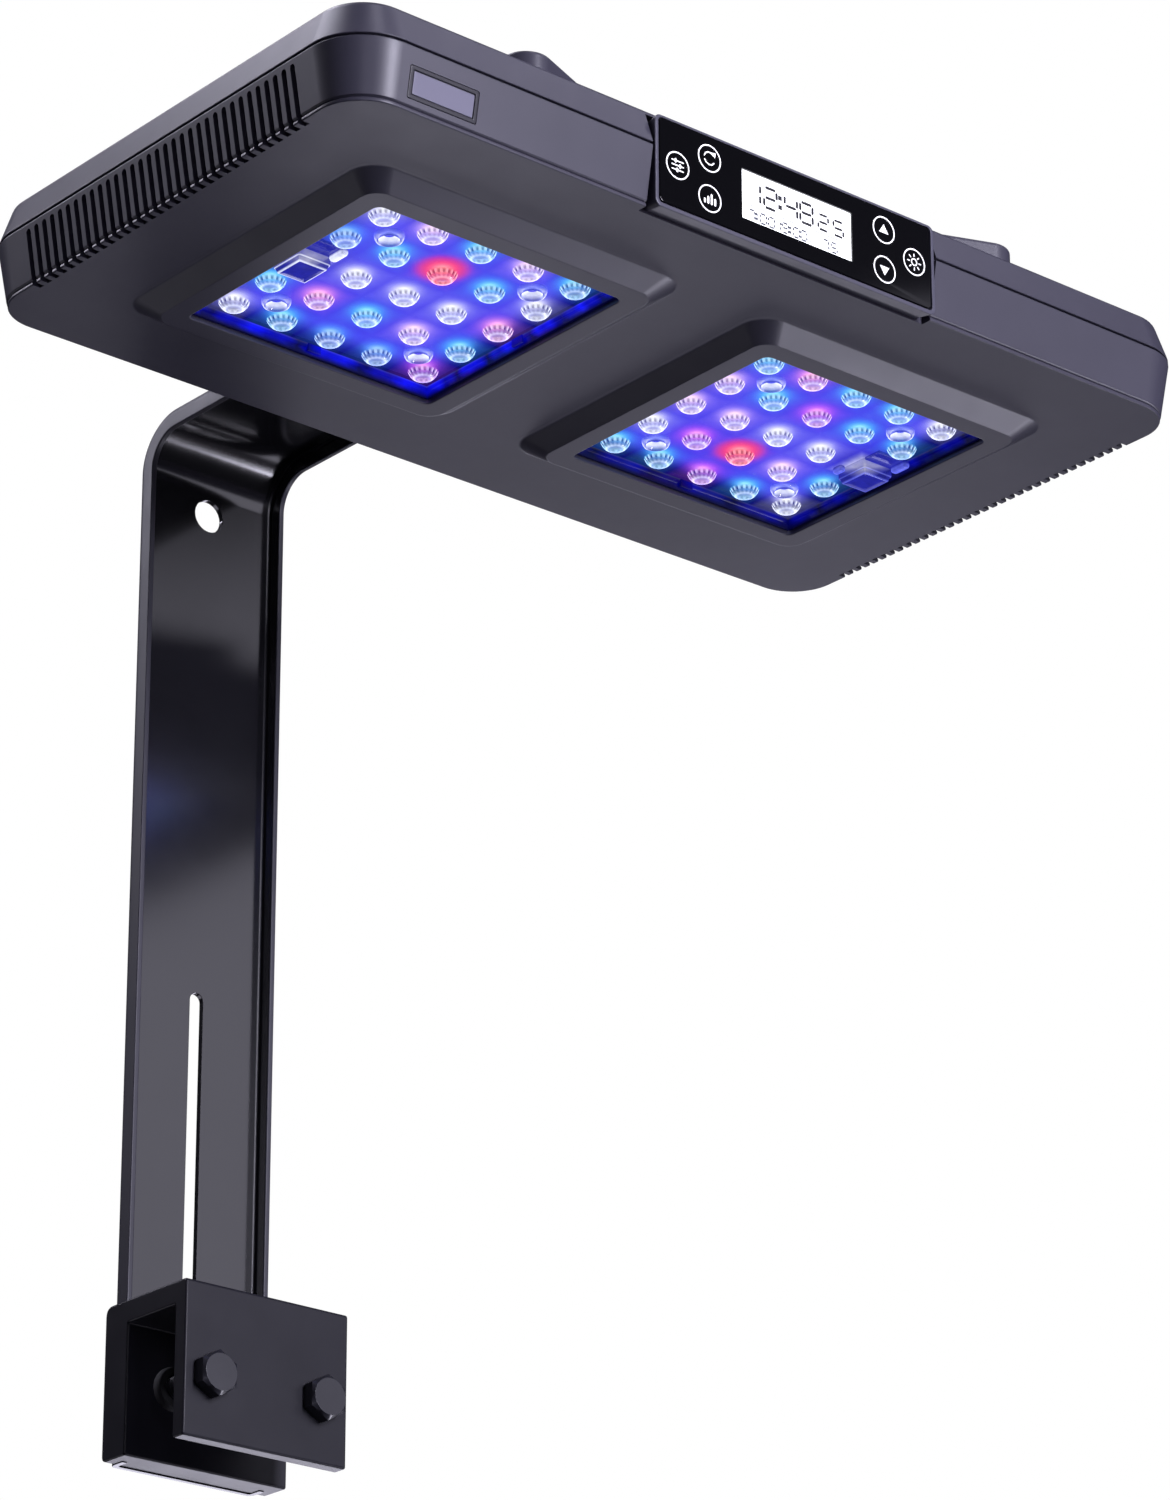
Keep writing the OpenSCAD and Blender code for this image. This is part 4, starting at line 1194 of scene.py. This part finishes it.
def thread(pitch, depth):
    """Radius of a screw thread by angle and height; depth is a share of the pitch."""
    def wave(r, a, z):
        turn = (z / pitch + a / (2 * math.pi)) % 1.0
        return r - depth * pitch * abs(2 * turn - 1)
    return wave


def threaded_rod(bm, radius, z0, z1, pitch, steps=36):
    """A threaded shank from z0 to z1 with a short taper at its end."""
    rings = int((z1 - z0) / pitch * 5)
    profile = [(radius, z0 + (z1 - z0) * k / rings) for k in range(rings + 1)]
    profile += [(radius - 0.6, z1 + 0.35)]
    lathe(bm, profile, steps, wave=thread(pitch, 0.34))


def hex_radius(flat):
    """Radius of a hexagon by angle, cut off by a circle at the chamfer."""
    def wave(r, a, z):
        b = (a + math.pi / 6) % (math.pi / 3) - math.pi / 6
        return min(flat / 2 / math.cos(b), r)
    return wave


def clamp_bolts():
    """Two M8 bolts through the front leg, each with a ribbed pad inside."""
    for side, name in SIDES.items():
        bm = bmesh.new()
        head = rounded_path([(0.0, 0.0, 0), (5.95, 0.0, 0.15), (7.6, 1.1, 0.2), (7.6, 4.7, 0.2),
                             (6.7, BOLT_HEAD, 0)], 3)
        lathe(bm, head, 96, wave=hex_radius(BOLT_FLATS))
        threaded_rod(bm, BOLT_R, 5.2, 24.4, BOLT_PITCH)
        bm.transform(along_y(side * BOLT_AT[0], CLAMP_FRONT - BOLT_HEAD, BOLT_AT[1]))
        obj = mesh_object("hex_bolt_" + name, bm, IN_PART, [DARK_STEEL])
        place_piece(obj, "bolt_" + name, ["clamp_bolt_" + name], 32)

        bm = bmesh.new()
        face = [(0.0, 1.7, 0), (4.1, 1.7, 0), (4.1, 0.0, 0.2), (6.6, 0.0, 0.5), (7.0, 1.0, 0.3),
                (7.0, 3.0, 0.5)]
        for r in (5.8, 4.4, 3.0):
            face += [(r + 0.2, 3.0, 0.1), (r, 2.7, 0.1), (r - 0.2, 3.0, 0.1)]
        face.append((0.0, 3.0, 0))
        lathe(bm, rounded_path(face, 3), 56)
        bm.transform(along_y(side * BOLT_AT[0], 0, BOLT_AT[1]))
        obj = mesh_object("press_pad_" + name, bm, IN_PART, [RUBBER])
        place_piece(obj, "pad_" + name, ["clamp_pad_" + name])


def lock_knobs():
    """Knurled thumb knobs behind the arm, on their studs and washers."""
    def knurl(r, a, z):
        return r - 0.55 * (0.5 + 0.5 * math.cos(a * 20)) if r > 8 else r

    for z, name in zip(LOCK_Z, ("upper", "lower")):
        bm = bmesh.new()
        profile = rounded_path([(0.0, 1.3, 0), (5.0, 1.3, 0.2), (5.2, 2.6, 0.3), (8.3, 2.8, 0.6),
                                (8.8, 3.6, 0.4), (8.8, 8.0, 0.5), (7.9, 9.0, 0.5), (5.5, 9.0, 0.4),
                                (4.9, 8.4, 0.4), (0.0, 8.3, 0)], 4)
        lathe(bm, profile, 120, wave=knurl)
        bm.transform(along_y(0, ARM_Y, z))
        obj = mesh_object("thumb_knob_" + name, bm, IN_PART, [KNOB])
        place_piece(obj, "knob_" + name, ["lock_knob_" + name])

        bm = bmesh.new()
        threaded_rod(bm, STUD_R, 13.2, ARM_Y + 2.5, STUD_PITCH)
        bm.transform(along_y(0, 0, z))
        obj = mesh_object("thumb_stud_" + name, bm, IN_PART, [STEEL])
        place_piece(obj, "knob_" + name, ["lock_stud_" + name])

        bm = bmesh.new()
        ring = rounded_path([(2.6, 0.0, 0), (6.5, 0.0, 0.2), (6.5, 1.2, 0.3), (2.6, 1.2, 0.15)], 3)
        loft(bm, [circle_loop(r, h, 48) for r, h in ring], closed=True)
        bm.transform(along_y(0, ARM_Y + 0.05, z))
        obj = mesh_object("thumb_washer_" + name, bm, IN_PART, [STEEL])
        place_piece(obj, "washer_" + name, ["lock_washer_" + name])


# ---------------------------------------------------------------- fans

def fan_rotors():
    """Hub with seven swept, twisted blades."""
    for side, name in SIDES.items():
        low, high = 25.4, 37.0
        bm = bmesh.new()
        hub = rounded_path([(0.0, low + 3, 0), (11.5, low + 3, 0), (12.8, low, 0.3),
                            (14.0, low, 0.4), (14.0, high, 1.4), (4.0, high, 0.4),
                            (3.6, high - 0.4, 0.2), (0.0, high - 0.4, 0)], 4)
        lathe(bm, hub, 64, (side * FAN_X, 0))
        for blade in range(7):
            loops = []
            for step in range(9):
                t = step / 8
                r = 13.0 + 19.2 * t
                middle = math.radians(360 * blade / 7 + 24 * t)
                spread, rise = math.radians(21 - 3 * t), 4.1 - 1.2 * t
                outline = []
                for k in range(16):
                    s = math.cos(2 * math.pi * k / 16)
                    thick = 0.55 * math.sin(2 * math.pi * k / 16) * (1.1 - 0.4 * s)
                    a = middle + s * spread
                    z = 31.3 - s * rise + thick + 0.7 * (1 - s * s)
                    outline.append((side * FAN_X + r * math.cos(a), r * math.sin(a), z))
                loops.append(outline)
            loft(bm, loops)
        obj = mesh_object("impeller_" + name, bm, IN_HEAD, [FAN])
        place_piece(obj, "fan_" + name, ["fan_rotor_" + name])


# ---------------------------------------------------------------- supply inlet

def supply_inlet():
    """A flanged round socket with its centre pin."""
    bm = bmesh.new()
    body = rounded_path([(4.9, -14.0, 0), (4.9, 0.0, 0), (6.6, 0.0, 0.2), (6.6, 0.9, 0.4),
                         (3.6, 0.9, 0.3), (3.1, 0.4, 0.2), (3.1, -8.5, 0), (0.0, -8.5, 0)], 3)
    loops = [circle_loop(max(r, 0.02), z, 48) for r, z in [(0.02, -14.0)] + body]
    loft(bm, loops)
    pin = rounded_path([(1.0, -9.0, 0), (1.0, -1.0, 0.4), (0.02, -0.6, 0)], 4)
    lathe(bm, pin, 32, material=1)
    bm.transform(along_y(INLET_X, HEAD_HALF[1] - 1.4, INLET_Z))
    obj = mesh_object("supply_socket", bm, IN_HEAD, [SOCKET, STEEL])
    place_piece(obj, "head", ["dc_inlet"])


# ---------------------------------------------------------------- CAD nodes kept as they are

def dress_cad_nodes():
    """Materials, and softened edges where they show, for the nodes that keep their shape."""
    looks = (
        (BOARD, "control_board driver_board"),
        (LED_BOARD, "led_board_left led_board_right"),
        (BRASS, "touch_springs"),
        (RUBBER, "lens_gasket_left lens_gasket_right"),
        (PLUG, "led_connectors"),
        (ALUMINIUM, "heatsink_left heatsink_right"),
        (STEEL, "lens_screws heatsink_screws board_screws arm_nut_plate arm_washers"),
        (DARK_STEEL, "fan_screws case_screws arm_screws"),
        (FAN, "fan_frame_left fan_frame_right"),
        (PARTS, "driver_components"),
        (WIRE, "wiring_harness"),
        (TRIM, "arm_spacer"))
    rounded = {"fan_screws": 0.25, "case_screws": 0.25, "arm_screws": 0.35, "arm_washers": 0.2,
               "fan_frame_left": 0.4, "fan_frame_right": 0.4, "arm_spacer": 0.4}
    for material, names in looks:
        for name in names.split():
            obj = frame["nodes"][name]
            obj.data.materials.clear()
            obj.data.materials.append(material)
    for name, width in rounded.items():
        obj = frame["nodes"][name]
        weld = obj.modifiers.new("weld", "WELD")
        weld.merge_threshold = 0.000005
        soften(obj, width, 2, 40)


# ---------------------------------------------------------------- stage

CAMERA_AT = (-1.03227, -1.39311, -0.52377)
CAMERA_LOOK = (0.59586, 0.70469, 0.38517)
CAMERA_ROLL = -0.117
LENS_MM = 137.06
FLOOR_Z = -1.3


def camera():
    """The photograph's view: from below, in front and to the left."""
    data = bpy.data.cameras.new("photo_camera")
    data.lens = LENS_MM
    data.sensor_width = 36.0
    data.sensor_fit = "AUTO"
    data.clip_start, data.clip_end = 0.05, 60.0
    obj = bpy.data.objects.new("photo_camera", data)
    bpy.context.scene.collection.objects.link(obj)
    turn = Vector(CAMERA_LOOK).to_track_quat("-Z", "Y").to_matrix().to_4x4()
    obj.matrix_world = (Matrix.Translation(CAMERA_AT) @ turn
                        @ Matrix.Rotation(math.radians(CAMERA_ROLL), 4, "Z"))
    bpy.context.scene.camera = obj


def card(name, place, target, size, power, spread=math.pi):
    """A soft card at place, turned to target."""
    data = bpy.data.lights.new(name, "AREA")
    data.shape = "RECTANGLE"
    data.size, data.size_y = size
    data.energy = power
    data.color = LAVENDER
    data.spread = spread
    obj = bpy.data.objects.new(name, data)
    bpy.context.scene.collection.objects.link(obj)
    obj.location = place
    obj.rotation_mode = "QUATERNION"
    obj.rotation_quaternion = (Vector(place) - target).to_track_quat("Z", "Y")
    obj.visible_camera = False


def world():
    """White to the camera, and a dim lavender grey to everything else."""
    scene_world = bpy.data.worlds.new("studio")
    bpy.context.scene.world = scene_world
    scene_world.use_nodes = True
    tree = scene_world.node_tree
    tree.nodes.clear()
    seen = tree.nodes.new("ShaderNodeBackground")
    seen.inputs["Color"].default_value = (1, 1, 1, 1)
    seen.inputs["Strength"].default_value = 1.0
    felt = tree.nodes.new("ShaderNodeBackground")
    felt.inputs["Color"].default_value = (0.80, 0.78, 1.0, 1)
    felt.inputs["Strength"].default_value = 0.02
    path = tree.nodes.new("ShaderNodeLightPath")
    mix = tree.nodes.new("ShaderNodeMixShader")
    out = tree.nodes.new("ShaderNodeOutputWorld")
    tree.links.new(path.outputs["Is Camera Ray"], mix.inputs["Fac"])
    tree.links.new(felt.outputs["Background"], mix.inputs[1])
    tree.links.new(seen.outputs["Background"], mix.inputs[2])
    tree.links.new(mix.outputs["Shader"], out.inputs["Surface"])


LAVENDER = (0.86, 0.84, 1.0)
# name, azimuth (0 in front, 90 on the left), reach, height, size, power, upright or aimed at the head
CARDS = (
    ("front_right_low", -40, 2.0, 0.75, (1.5, 1.0), 3.2, True),
    ("front_right_high", -40, 2.0, 2.35, (1.5, 0.4), 1.5, True),
    ("front_strip", -9, 2.0, 0.55, (0.34, 1.3), 52.0, True),
    ("corner_strip_front", 10, 2.0, 0.42, (0.28, 0.9), 1.5, True),
    ("corner_strip_mid", 35, 2.0, 0.42, (0.28, 0.9), 2.2, True),
    ("right_top", -60, 1.05, 1.95, (0.35, 0.8), 2.8, False),
    ("front_top", 10, 1.05, 1.95, (0.35, 0.8), 5.0, False),
    ("rear_top", 160, 1.05, 1.95, (0.35, 0.8), 8.5, False),
    ("left_top", 135, 1.15, 2.1, (1.2, 0.9), 16.5, False),
    ("left_rear_mid", 145, 2.0, 1.4, (0.5, 0.3), 14.5, True),
    ("right_rear_low", -140, 2.0, 0.0, (0.65, 0.6), 3.0, True),
    ("below_right", -82, 0.8, -0.50, (0.3, 0.3), 4.0, False),
    ("below_rear_left", 160, 0.9, -0.45, (0.6, 0.5), 0.72, False),
    ("below_rear_right", -120, 0.9, -0.45, (0.6, 0.5), 0.85, False))


# A narrow, faint card for the undersides of the clamp; a little of it reaches the head
KICKER_AT = Vector((0.32, 0.383, -0.26))
CLAMP_FOOT = Vector((0.0, 0.0, -0.03))


def lights():
    for name, azimuth, reach, height, size, power, upright in CARDS:
        a = math.radians(azimuth)
        place = (-reach * math.sin(a), HEAD_AT.y - reach * math.cos(a), height)
        target = Vector((0, HEAD_AT.y, height if upright else HEAD_AT.z))
        card(name, place, target, size, power)
    card("below_clamp", KICKER_AT, CLAMP_FOOT, (0.25, 0.20), 0.03, math.radians(34))


def floor():
    """A pale floor far below; it neither lights the object nor shows in its reflections."""
    bm = bmesh.new()
    bmesh.ops.create_grid(bm, x_segments=8, y_segments=8, size=16.0)
    obj = mesh_object("studio_floor", bm, Matrix.Translation((0, 0, FLOOR_Z)),
                      [coated("pale_floor", (0.80, 0.80, 0.81), 0.7, grain=60.0,
                              grain_depth=0.0004, mottle=0.02, glow=0.75)])
    obj.visible_diffuse = False
    obj.visible_glossy = False


def build():
    case_shell()
    cover_shell()
    badge()
    panel_frame()
    panel_glass()
    key_symbols()
    display()
    for side in (-1, 1):
        light_window(side)
    arm()
    clamp()
    clamp_bolts()
    lock_knobs()
    fan_rotors()
    supply_inlet()
    dress_cad_nodes()
    camera()
    world()
    lights()
    floor()


build()
bpy.context.scene.view_settings.view_transform = "Standard"
